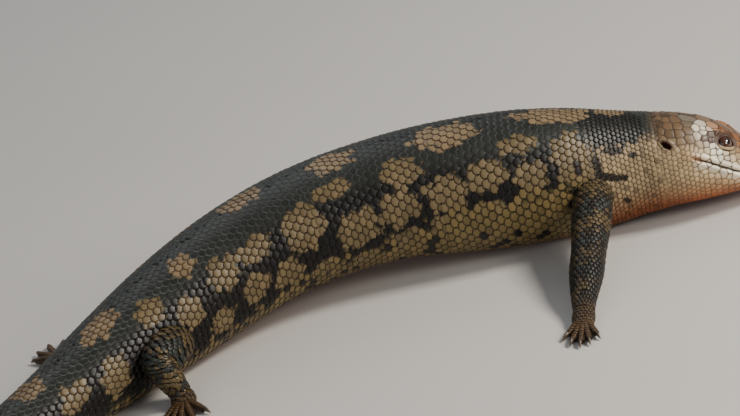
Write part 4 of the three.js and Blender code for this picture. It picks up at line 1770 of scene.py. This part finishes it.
@dataclass
class SkinMaker:
    """The one skin of the whole animal: body, legs, lids and ear rims fused together."""

    form: BodyForm
    features: HeadRelief
    markings: Markings
    limbs: Sequence[Limb]
    columns: int = 224
    name: str = "skin"
    limb_depth: float = 0.34
    head_end: float = 52
    lid_skin: Oval = Oval(4.4, 3.6, (1.0, 0.88))
    eye_cup: Oval = Oval(4.4, 3.6, (0.62, 0.5))
    ear_cup: Oval = Oval(2.5, 1.35, (1.1, 0.8))
    nostril_cup: Oval = Oval(1, 1, (1.2, 0.9), behind=4)

    def stations(self) -> Array:
        """Rings close together on the head, further apart behind it, and bunched at both ends.

        Returns:
            The rings' ways along the back.
        """
        snout = self.form.snout_round * (1 - np.cos(np.linspace(0, math.pi / 2, 15)))
        head = np.linspace(self.form.snout_round, self.head_end, 130)
        rest = np.linspace(self.head_end, self.form.length - self.form.tail_round, 118)
        tail = self.form.length - self.form.tail_round * (1 - np.cos(np.linspace(math.pi / 2, 0, 8)))
        return np.concatenate([snout, head[1:], rest[1:], tail[1:]])

    def surface(self, at: Array, turn: Array) -> Array:
        """The body's skin, sunk by the coat's depth, with the head's features.

        Args:
            at: Ways along the back.
            turn: Turns, over 0 on the right side.

        Returns:
            The points, in millimetres.
        """
        base = self.form.point(at, turn, -COAT_DEPTH)
        ends = smooth(3, 0, at) - smooth(self.form.length - 3, self.form.length, at)
        base[:, :2] -= self.form.spine(at)[1] * (ends * COAT_DEPTH)[:, None]
        on_head = (at > 0.01) & (at < 54)
        rise = np.zeros(len(at))
        rise[on_head] = self.features.rise(at[on_head], self.form.point(at[on_head], turn[on_head]))
        rise *= smooth(54, 48, at)
        out = self.form.outward(np.clip(at, 0.3, self.form.length - 0.3), turn)
        moved = base + out * rise[:, None]
        moved[:, 2] = np.maximum(moved[:, 2], FLOOR_CLEAR)
        return moved

    def lid(self, side: Side, upper: bool) -> bmesh.types.BMesh:
        """One eyelid: a soft roll that follows the opening's almond.

        Args:
            side: The side of the head.
            upper: Whether it is the upper lid.

        Returns:
            The closed roll, in metres.
        """
        f = self.features
        centre, out, forward, up = f.place(f.eye, side)
        sweep = np.linspace(0, math.pi, 19) * (1 if upper else -1)
        tall = f.lid_tall[0] if upper else f.lid_tall[1]
        rings, half = [], []
        for angle in sweep:
            ahead, above = f.lid_long * math.cos(angle), tall * math.sin(angle)
            cover = f.eye_radius**2 - ahead**2 - above**2
            lift = max(math.sqrt(max(cover, 0)) - f.eye_sink + 0.15, -0.75)
            rings.append(centre + forward * ahead + up * above + out * lift)
            half.append(0.34 + (0.30 if upper else 0.38) * abs(math.sin(angle)))
        return self.roll(Tube(rings, half, half), out)

    def roll(self, tube: Tube, out: Array) -> bmesh.types.BMesh:
        """A closed roll round a tube's line, turned to face a way out.

        Args:
            tube: The tube whose middle line the roll follows.
            out: The way that the roll's thickness stands in.

        Returns:
            The closed roll, in metres.
        """

        def surface(t: Array, turn: Array) -> Array:
            """Points of the roll.

            Args:
                t: Ways along, in stations, under 0 and past the last one on the rounded ends.
                turn: Turns round the roll, from -1 to 1.

            Returns:
                The points, in millimetres.
            """
            inside = np.clip(t, 0, tube.last)
            over = t - inside
            ahead = unit(tube.centre(inside + 0.05) - tube.centre(inside - 0.05))
            side = unit(np.cross(out, ahead))
            angle = turn * math.pi
            scale = np.sqrt(np.maximum(1 - over**2, 0))
            half = tube.read(tube.half, inside) * scale
            tall = tube.read(tube.tall, inside) * scale
            return (
                tube.centre(inside)
                + ahead * (over * tube.read(tube.half, inside) * tube.bluntness)[:, None]
                + side * (np.sin(angle) * half)[:, None]
                + out * (np.cos(angle) * tall)[:, None]
            )

        return Grid(tube.rows(0.35), 12).make(surface)

    def ear_rim(self, side: Side) -> bmesh.types.BMesh:
        """The lobed fold along the front of an ear.

        Args:
            side: The side of the head.

        Returns:
            The closed roll, in metres.
        """
        centre, out, first, second = self.features.place(self.features.ear, side)
        sweep = np.linspace(-0.55, 0.55, 13) * math.pi
        rings = [
            centre + first * (2.35 * math.sin(a)) + second * (1.25 * math.cos(a)) - out * 0.3
            for a in sweep
        ]
        half = [0.42 + 0.20 * math.cos(a) + 0.10 * math.cos(7 * a) for a in sweep]
        return self.roll(Tube(rings, half, half), out)

    def build(self) -> bpy.types.Object:
        """Makes and fuses the skin.

        Returns:
            The skin object, with the markings' colours on it.
        """
        trunk = add_object(self.name, Grid(self.stations(), self.columns).make(self.surface))
        parts = bpy.data.collections.new("skin_parts")
        pieces = [self.lid(side, upper) for side in Side for upper in (True, False)]
        pieces += [self.ear_rim(side) for side in Side]
        for limb in self.limbs:
            for tube, step, sides in limb.flesh():

                def surface(t: Array, turn: Array, tube: Tube = tube) -> Array:
                    """The tube's points, sunk by the depth of its coat."""
                    return tube.point(t, turn, -self.limb_depth)

                pieces.append(Grid(tube.rows(step), sides).make(surface))
        for i, piece in enumerate(pieces):
            part = add_object(f"skin_part_{i}", piece)
            bpy.context.scene.collection.objects.unlink(part)
            parts.objects.link(part)
        bpy.context.scene.collection.children.link(parts)
        fuse = trunk.modifiers.new("fuse", "BOOLEAN")
        fuse.operation = "UNION"
        fuse.operand_type = "COLLECTION"
        fuse.collection = parts
        fuse.solver = "MANIFOLD"
        shown = trunk.evaluated_get(bpy.context.evaluated_depsgraph_get())
        fused = bpy.data.meshes.new_from_object(shown)
        LOG.info("skin fused: %d to %d vertices", len(trunk.data.vertices), len(fused.vertices))
        trunk.modifiers.clear()
        trunk.data = fused
        for part in list(parts.objects):
            bpy.data.objects.remove(part)
        bpy.data.collections.remove(parts)
        self.soften(fused)
        fused.polygons.foreach_set("use_smooth", np.full(len(fused.polygons), True))
        self.colour(fused)
        return trunk

    def soften(self, mesh: bpy.types.Mesh) -> None:
        """Eases the creases where the legs' lengths meet each other and the body.

        Args:
            mesh: The fused skin, which is changed.
        """
        bm = bmesh.new()
        bm.from_mesh(mesh)
        creased = {
            v for e in bm.edges if e.is_manifold and e.calc_face_angle(0) > 0.35 for v in e.verts
        }
        points = np.array([v.co[:] for v in creased]) / MM
        at = self.nearest_at(points)
        chosen = [v for v, a in zip(creased, at) if a > 56]
        for _ in range(3):
            near = list({w for v in chosen for e in v.link_edges for w in e.verts})
            bmesh.ops.smooth_vert(
                bm, verts=near, factor=0.4, use_axis_x=True, use_axis_y=True, use_axis_z=True
            )
        bm.to_mesh(mesh)
        bm.free()

    def nearest_at(self, points: Array) -> Array:
        """Each point's way along the back, from the nearest place of the spine's plan.

        Args:
            points: The points, in millimetres.

        Returns:
            The ways, to the nearest millimetre.
        """
        marks = np.arange(0, self.form.length, 1.0)
        plan = self.form.spine(marks)[0]
        away = np.linalg.norm(points[:, None, :2] - plan[None], axis=2)
        return marks[away.argmin(axis=1)]

    def colour(self, mesh: bpy.types.Mesh) -> None:
        """Paints the skin with the markings, dark between scales, with painted shade in the eye sockets,
        ears, nostrils and mouth line.

        Args:
            mesh: The fused skin, which gets its paint attribute.
        """
        c = self.markings.colours
        count = len(mesh.vertices)
        points = np.zeros(count * 3)
        mesh.vertices.foreach_get("co", points)
        points = points.reshape(-1, 3) / MM
        rows = np.arange(0.5, self.form.length, 1.0)
        turns = np.linspace(-1, 1, 121)
        at, turn = (g.ravel() for g in np.meshgrid(rows, turns, indexing="ij"))
        places = self.form.point(at, turn, -COAT_DEPTH)
        tree = KDTree(len(places))
        for i, place in enumerate(places):
            tree.insert(place, i)
        tree.balance()
        found = [tree.find(p) for p in points]
        index = np.array([f[1] for f in found])
        away = np.array([f[2] for f in found])
        draw = np.full((count, 3), 0.5)
        paint, rim = self.markings.body(at[index], turn[index], draw)
        colour = rim * 0.6 + paint * 0.1
        near_at, near_turn = at[index], turn[index]
        head, head_rim = self.markings.head(near_at, near_turn, draw)
        colour = toward(colour, head_rim * 0.9 + head * 0.1, smooth(44, 38, near_at))
        gap, there = self.features.mouth_gap(near_at, points)
        # The lips painted cream to near white: their own pale colour with a painted highlight.
        colour = toward(colour, c.lip * 0.8, np.exp(-((gap / 2.4) ** 2)) * there * (near_at < 40))
        # Painted shade along the mouth's line.
        colour = toward(colour, c.socket, smooth(0.5, 0.15, np.abs(gap)) * there * (near_at < 40))
        for side in Side:
            f = self.features
            _, above, _ = f.across(points, f.eye, side)
            # The upper lid dark brown, the lower lid cream: partly its own pale colour, partly a painted
            # highlight.
            lid = toward(c.orbit, c.cheek * 0.9, smooth(-1.2, -2.0, above))
            colour = toward(colour, lid, f.mask(points, f.eye, side, self.lid_skin))
            # Painted shade in the eye's socket, the ear's cup and the nostril.
            colour = toward(colour, c.socket, f.mask(points, f.eye, side, self.eye_cup))
            colour = toward(colour, c.shaded_cup, f.mask(points, f.ear, side, self.ear_cup))
            colour = toward(colour, c.socket, f.mask(points, f.nostril, side, self.nostril_cup))
        colour = toward(colour, c.leg_edge * 1.1, smooth(0.8, 2.0, away) * (near_at > 60))
        put(mesh, "paint", "FLOAT_COLOR", with_alpha(colour))


@dataclass
class HeadShields:
    """The head's shields: a coat of plates with seams, cut open round the eyes and sunk at the ears and
    along the mouth.
    """

    form: BodyForm
    features: HeadRelief
    markings: Markings
    end: float = 50
    columns: int = 350
    batch: int = 4000
    name: str = "head_shields"
    shade: Oval = Oval(4.3, 3.3, (1.15, 0.85), ahead=-5.6, above=1.5)
    orbit: Oval = Oval(4.9, 4.0, (1.05, 0.85))
    ear_cup: Oval = Oval(2.15, 1.05)
    nostril_cup: Oval = Oval(0.95, 0.75)
    # The way along, the arc from the midline, and the size given over the neighbours.
    crown: tuple[Place, ...] = (
        (0.4, 0.0, 0.6), (4.6, 2.3, 0.2), (9.0, 0.0, 0.9), (13.6, 3.3, 0.8), (20.4, 0.0, 1.6),
        (16.9, 7.4, 0.3), (20.6, 7.6, 0.4), (24.4, 7.4, 0.4), (27.8, 2.3, 0.5), (32.6, 0.0, 0.9),
        (33.6, 5.2, 1.3), (28.6, 8.6, 0.2), (38.8, 2.4, 0.6), (38.2, 7.6, 0.5),
    )

    def seeds(self) -> tuple[Array, Array, Array]:
        """The middles of the shields: way along, turn, and size.

        Returns:
            Each shield's way along, its turn, and the size given to it over its neighbours.
        """
        found: list[tuple[float, float, float]] = []
        for at, arc, size in self.crown:
            for sign in (1, -1) if arc else (1,):
                found.append((at, sign * arc / float(self.form.girth(max(at, 3))), size))
        line = np.array(self.features.mouth)
        for side in Side:
            for at in np.arange(2.6, 33.5, 3.9):
                height = float(blend(*line, at))
                for lift, shift in ((1.75, 0.0), (-1.75, 1.2)):
                    place = at + shift
                    found.append((place, self.form.turn_at_height(place, height + lift, side), 0.5))
        taken = np.array([(a, t) for a, t, _ in found])
        random = np.random.default_rng(11)
        row, at = 0, 3.0
        while at < self.end + 3:
            girth = float(self.form.girth(at))
            wide = 2.4 if at < 30 else 1.95
            count = int(2 * girth / wide)
            for k in range(count):
                turn = -1 + (2 * k + row % 2) / count
                arc = abs(turn) * girth
                near = np.hypot(taken[:, 0] - at, (np.abs(taken[:, 1]) - abs(turn)) * girth)
                same = np.sign(taken[:, 1]) == np.sign(turn)
                large = abs(turn) < 0.36 and at < 46
                if (arc < 9.6 and 1 < at < 41) or near[same].min() < 2.0:
                    continue
                if large and at > 30 and (row % 2 or k % 2):
                    continue
                jog = (random.random(2) - 0.5) * 0.4
                found.append((at + jog[0], turn + jog[1] / girth, 0.0))
            at += 2.3 if at < 30 else 1.75
            row += 1
        made = np.array(found)
        return made[:, 0], made[:, 1], made[:, 2]

    def plates(self, points: Array, places: Array, size: Array) -> tuple[Array, Array]:
        """For each point the shield it is on and its way to the seam.

        Args:
            points: The points, in millimetres.
            places: The shields' middles, in millimetres.
            size: What is given to each shield over its neighbours.

        Returns:
            The shields' numbers and the ways to the seams.
        """
        mine = np.zeros(len(points), int)
        edge = np.zeros(len(points))
        for start in range(0, len(points), self.batch):
            part = points[start : start + self.batch]
            gaps = np.linalg.norm(part[:, None] - places[None], axis=2) - size[None]
            order = np.argpartition(gaps, 1, axis=1)[:, :2]
            pair = np.take_along_axis(gaps, order, axis=1)
            flip = pair[:, 0] > pair[:, 1]
            first = np.where(flip, order[:, 1], order[:, 0])
            low, high = pair.min(axis=1), pair.max(axis=1)
            mine[start : start + self.batch] = first
            edge[start : start + self.batch] = (high - low) / 2
        return mine, edge

    def build(self) -> bpy.types.Object:
        """Makes the coat of shields.

        Returns:
            The shields as one closed shell over the head.
        """
        at_seeds, turn_seeds, size = self.seeds()
        middles = self.form.point(np.maximum(at_seeds, 0.05), turn_seeds)
        snout = self.form.snout_round * (1 - np.cos(np.linspace(0, math.pi / 2, 20)))
        rest = np.linspace(self.form.snout_round, self.end + 1.5, 150)[1:]
        rows = np.concatenate([snout, rest, [self.end + 2]])

        def surface(at: Array, turn: Array) -> Array:
            """Points of the shell, which closes inside the neck.

            Args:
                at: Ways along the back.
                turn: Turns, over 0 on the right side.

            Returns:
                The points, in millimetres.
            """
            safe = np.maximum(at, 0.02)
            points = self.form.point(safe, turn)
            mine, edge = self.plates(points, middles, size)
            tilt = (safe - at_seeds[mine]) * 0.045
            plate = smooth(0.0, 0.32, edge)
            rise = self.features.rise(safe, points) * smooth(0.0, 0.5, at + 0.3)
            lift = -0.27 + (0.23 + tilt) * plate + 0.05 * smooth(0.3, 1.6, edge)
            lift = lift - 1.5 * self.features.openings(points)
            lift = lift - 1.5 * smooth(self.end - 5.5, self.end + 0.5, at)
            base = self.form.point(at, turn, 0)
            out = self.form.outward(np.maximum(at, 0.3), turn)
            moved = base + out * (rise + lift)[:, None]
            centre = self.form.point(np.full(len(at), self.end), np.zeros(len(at)))
            centre[:, 2] = 20
            moved[at > self.end + 1.9] = centre[0]
            moved[:, 2] = np.maximum(moved[:, 2], FLOOR_CLEAR)
            return moved

        shell = add_object(self.name, Grid(rows, self.columns).make(surface))
        mesh = shell.data
        ways, turns = np.zeros(len(mesh.vertices)), np.zeros(len(mesh.vertices))
        mesh.attributes["way"].data.foreach_get("value", ways)
        mesh.attributes["turn"].data.foreach_get("value", turns)
        points = self.form.point(np.maximum(ways, 0.02), turns)
        mine, edge = self.plates(points, middles, size)
        draw = np.random.default_rng(5).random((len(at_seeds), 3))[mine]
        plate_at, plate_turn = at_seeds[mine], turn_seeds[mine]
        colour, rim = self.markings.head(plate_at, plate_turn, draw)
        body, body_rim = self.markings.body(plate_at, plate_turn, draw)
        back = smooth(0.46, 0.54, plate_at / 100 + (draw[:, 0] - 0.5) * 0.04)
        colour, rim = toward(colour, body, back), toward(rim, body_rim, back)
        gap, there = self.features.mouth_gap(ways, points)
        c = self.markings.colours
        # The lips painted cream to near white: their own pale colour with a painted highlight.
        lip = c.lip * (0.85 + 0.2 * draw[:, 2:3])
        colour = toward(colour, lip, np.exp(-((gap / 3.0) ** 2)) * there)
        # Painted shade in the mouth's line.
        slit_shade = smooth(0.55, 0.2, np.abs(gap)) * there
        colour, rim = toward(colour, c.socket, slit_shade), toward(rim, c.socket, slit_shade)
        corner = np.exp(-(((ways - 33.0) / 3.2) ** 2) - ((gap - 0.6) / 1.7) ** 2)
        colour = toward(colour, c.brow, corner * 0.75)
        for side in Side:
            f = self.features
            # Painted shade behind the eye and in a ring round its opening, over the shields' own dark
            # brown.
            dark = c.orbit * (0.7 + 0.6 * draw[:, :1])
            colour = toward(colour, dark, f.mask(middles[mine], f.eye, side, self.shade) * 0.97)
            near = f.mask(points, f.eye, side, self.orbit)
            colour, rim = toward(colour, c.orbit, near), toward(rim, c.orbit * 0.5, near)
            # Painted shade in the ear and nostril cups.
            for feature, oval in ((f.ear, self.ear_cup), (f.nostril, self.nostril_cup)):
                shaded_cup = f.mask(points, feature, side, oval)
                colour, rim = toward(colour, c.shaded_cup, shaded_cup), toward(rim, c.shaded_cup, shaded_cup)
        put(mesh, "paint", "FLOAT_COLOR", with_alpha(colour))
        put(mesh, "rim", "FLOAT_COLOR", with_alpha(rim))
        rimward = 1 - np.clip(edge / 0.55, 0, 1)
        put(mesh, "place", "FLOAT_VECTOR", np.stack([rimward * 0, rimward, rimward * 0], -1))
        index = np.zeros(len(mesh.loops), int)
        mesh.loops.foreach_get("vertex_index", index)
        chart = mesh.uv_layers.new(name="OFBake")
        spread = self.form.chart(ways, turns)
        chart.data.foreach_set("uv", spread[index].astype(np.float32).ravel())
        return shell


@dataclass
class Eyes:
    """Both eyeballs, sunk under their lids."""

    features: HeadRelief

    def build(self) -> list[bpy.types.Object]:
        """Makes the eyeballs and dresses them.

        Returns:
            The right eyeball and the left one, in the order of the sides.
        """
        made = []
        f = self.features
        for side in Side:
            point, out, _, _ = f.place(f.eye, side)
            centre = point - out * f.eye_sink
            bm = bmesh.new()
            spot = Matrix.Translation(Vector(centre * MM))
            radius = f.eye_radius - 0.1
            bmesh.ops.create_uvsphere(bm, u_segments=40, v_segments=24, radius=radius * MM, matrix=spot)
            eye = add_object(f"eyeball_{side.name.lower()}", bm)
            name = f"eye_{side.name.lower()}_wet"
            finish = EyeFinish(name, tuple(centre * MM), tuple(out), radius)
            eye.data.materials.append(finish.make())
            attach(eye, "root")
            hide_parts(f"eye_{side.name.lower()}")
            made.append(eye)
        return made


@dataclass
class Claws:
    """The twenty claws, curved and tapering to a point."""

    limbs: Sequence[Limb]

    def build(self) -> bpy.types.Object:
        """Makes the claws as one piece.

        Returns:
            The piece, with its finish.
        """
        whole = bmesh.new()
        tips = whole.verts.layers.float.new("tip")
        for limb in self.limbs:
            for claw in limb.claws:
                part = Grid(claw.rows(0.4), 12).make(claw.point)
                ways = part.verts.layers.float["way"]
                lookup = {}
                for v in part.verts:
                    new = whole.verts.new(v.co)
                    new[tips] = min(max(v[ways] / claw.last, 0), 1)
                    lookup[v] = new
                for face in part.faces:
                    whole.faces.new([lookup[v] for v in face.verts])
                part.free()
        claws = add_object("claws", whole)
        claws.data.materials.append(ClawFinish().make())
        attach(claws, "root")
        return claws


@dataclass
class Studio:
    """The plain pale floor, the soft lights and the camera."""

    elevation: float = 24
    roll: float = 15
    distance: float = 600
    target: Place = (-66, 9, 25)
    scale: float = 0.4
    width: int = 740
    film: float = 36
    floor_half: float = 6
    aim: Place = (-0.06, 0, 0.03)

    def floor(self) -> None:
        """A wide flat floor under the animal."""
        bm = bmesh.new()
        bmesh.ops.create_grid(bm, x_segments=1, y_segments=1, size=self.floor_half)
        sheet = add_object("floor", bm, shaded_smooth=False)
        sheet.data.materials.append(FloorFinish().make())

    def camera(self) -> None:
        """The camera at the photograph's angle."""
        e, r = math.radians(self.elevation), math.radians(self.roll)
        back = Vector((0, -math.cos(e), math.sin(e)))
        right = Vector((1, 0, 0))
        up = Vector((0, math.sin(e), math.cos(e)))
        across = right * math.cos(r) - up * math.sin(r)
        above = right * math.sin(r) + up * math.cos(r)
        lens = bpy.data.cameras.new("camera")
        lens.sensor_width = self.film
        lens.lens = self.film * (self.distance / self.scale) / self.width
        lens.clip_start, lens.clip_end = 0.01, 50
        holder = bpy.data.objects.new("camera", lens)
        place = (Vector(self.target) + back * self.distance) * MM
        turned = Matrix((across, above, back)).transposed().to_4x4()
        turned.translation = place
        holder.matrix_world = turned
        bpy.context.scene.collection.objects.link(holder)
        bpy.context.scene.camera = holder

    def light(self, name: str, place: Place, size: float, power: float, colour: Colour) -> None:
        """One soft square light that looks at the animal.

        Args:
            name: The light's name.
            place: Where it stands, in metres.
            size: Its side, in metres.
            power: Its power, in watts.
            colour: Its colour.
        """
        lamp = bpy.data.lights.new(name, "AREA")
        lamp.shape = "SQUARE"
        lamp.size, lamp.energy, lamp.color = size, power, colour
        holder = bpy.data.objects.new(name, lamp)
        holder.location = place
        aim = Vector(self.aim) - Vector(place)
        holder.rotation_euler = aim.to_track_quat("-Z", "Y").to_euler()
        bpy.context.scene.collection.objects.link(holder)

    def build(self) -> None:
        """Sets up the whole studio."""
        self.floor()
        self.camera()
        self.light("key", (1.0, -0.25, 0.95), 0.35, 19, (1.0, 0.93, 0.84))
        self.light("back", (-0.2, 0.9, 0.9), 0.7, 2.5, (0.90, 0.95, 1.0))
        self.light("face", (0.30, -0.30, 0.26), 0.14, 0.85, (1.0, 0.94, 0.86))
        self.light("fill", (-0.8, -1.2, 0.8), 1.2, 4, (0.95, 0.97, 1.0))
        world = bpy.data.worlds.new("studio")
        world.use_nodes = True
        world.node_tree.nodes["Background"].inputs[0].default_value = (0.80, 0.83, 0.88, 1)
        world.node_tree.nodes["Background"].inputs[1].default_value = 0.25
        bpy.context.scene.world = world


@dataclass
class Skink:
    """The whole animal."""

    form: BodyForm = field(default_factory=BodyForm)

    def __post_init__(self) -> None:
        """Sets out the features, the markings and the legs."""
        self.features = HeadRelief(self.form)
        self.markings = Markings(self.form)
        self.limbs = [Limb(plan, self.form) for plan in LIMBS]

    def dress(self, piece: bpy.types.Object, finish: bpy.types.Material) -> None:
        """Gives a piece its finish and its body, and reports it.

        Args:
            piece: The piece.
            finish: Its material.
        """
        piece.data.materials.clear()
        piece.data.materials.append(finish)
        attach(piece, "root")
        sides = sum(len(p.vertices) - 2 for p in piece.data.polygons)
        LOG.info("%s: %d triangles", piece.name, sides)

    def clear_of(self, rows: Rows, skin: BVHTree, lift: float) -> Rows:
        """The rows without the scales that lie inside the skin of another length.

        Args:
            rows: Rows of scales.
            skin: The fused skin.
            lift: How far over its own length each scale is tested.

        Returns:
            The rows that are left.
        """
        points = rows.centres(lift) * MM
        keep = np.full(len(points), True)
        for i, point in enumerate(points):
            near, normal, _, away = skin.find_nearest(Vector(point))
            if near is not None and (Vector(point) - near).dot(normal) < 0 and away > 0.25 * MM:
                keep[i] = False
        return rows.keep(keep)

    def build(self) -> None:
        """Builds every piece in order."""
        skin = SkinMaker(self.form, self.features, self.markings, self.limbs).build()
        self.dress(skin, SkinFinish("bare_skin").make())
        flesh = [n for n in frame["nodes"] if not n.startswith("eye_")]
        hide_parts(*flesh)
        tree = BVHTree.FromPolygons(
            [v.co for v in skin.data.vertices], [p.vertices for p in skin.data.polygons]
        )
        shields = HeadShields(self.form, self.features, self.markings).build()
        self.dress(shields, ScaleFinish("head_scales", 0.41, 0.12, 0.45, 0.85).make())
        maker = CoatMaker(ScaleShape())
        body = BodyScales(self.form, self.markings, self.features, maker)
        satin = ScaleFinish("body_scales").make()
        lengths = (
            ("neck_scales", 43.0, 71, body.neck_columns, "neck_skin"),
            ("shoulder_scales", 71, 130, body.columns, "trunk_skin"),
            ("side_scales", 130, 186, body.columns, "trunk_skin"),
            ("loin_scales", 186, 242, body.columns, "trunk_skin"),
            ("hip_scales", 242, body.tail_from, body.columns, "trunk_skin"),
            ("tail_scales", body.tail_from, 356, 30, "tail_skin"),
            ("tail_tip_scales", 356, 443, 20, "tail_skin"),
        )
        start = lengths[0][1]
        for name, _, end, columns, slot in lengths:
            groups = [body.rows(start, end, columns, 20 + len(name))]
            if name == "shoulder_scales":
                groups = [body.rows(start, 86, 52, 29), body.rows(86, end, columns, 35)]
            start = end
            groups = [self.clear_of(body.open_ear(rows), tree, 0.1) for rows in groups]
            self.dress(maker.lay(name, groups), satin)
        small = CoatMaker(ScaleShape(across=4, along=4))
        dull = ScaleFinish("leg_scales", 0.46, 0.08).make()
        for i, limb in enumerate(self.limbs):
            pale = 0.62 if i > 1 else 0.40
            chart = (0.78 + 0.11 * (i % 2), 0.02 + 0.5 * (i // 2))
            scales = LimbScales(limb, self.markings, chart, pale, 0.9 if i > 1 else 0.2)
            groups = [self.clear_of(g, tree, 0.15) for g in scales.groups(60 + 20 * i)]
            self.dress(small.lay(limb.plan.name + "_scales", groups), dull)
        for eye in Eyes(self.features).build():
            LOG.info("%s: %d faces", eye.name, len(eye.data.polygons))
        claws = Claws(self.limbs).build()
        LOG.info("%s: %d faces", claws.name, len(claws.data.polygons))


def main() -> None:
    """Builds the animal and its studio."""
    logging.basicConfig(level=logging.INFO, format="%(name)s: %(message)s")
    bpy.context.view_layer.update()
    Studio().build()
    Skink().build()


if __name__ == "__main__":
    main()
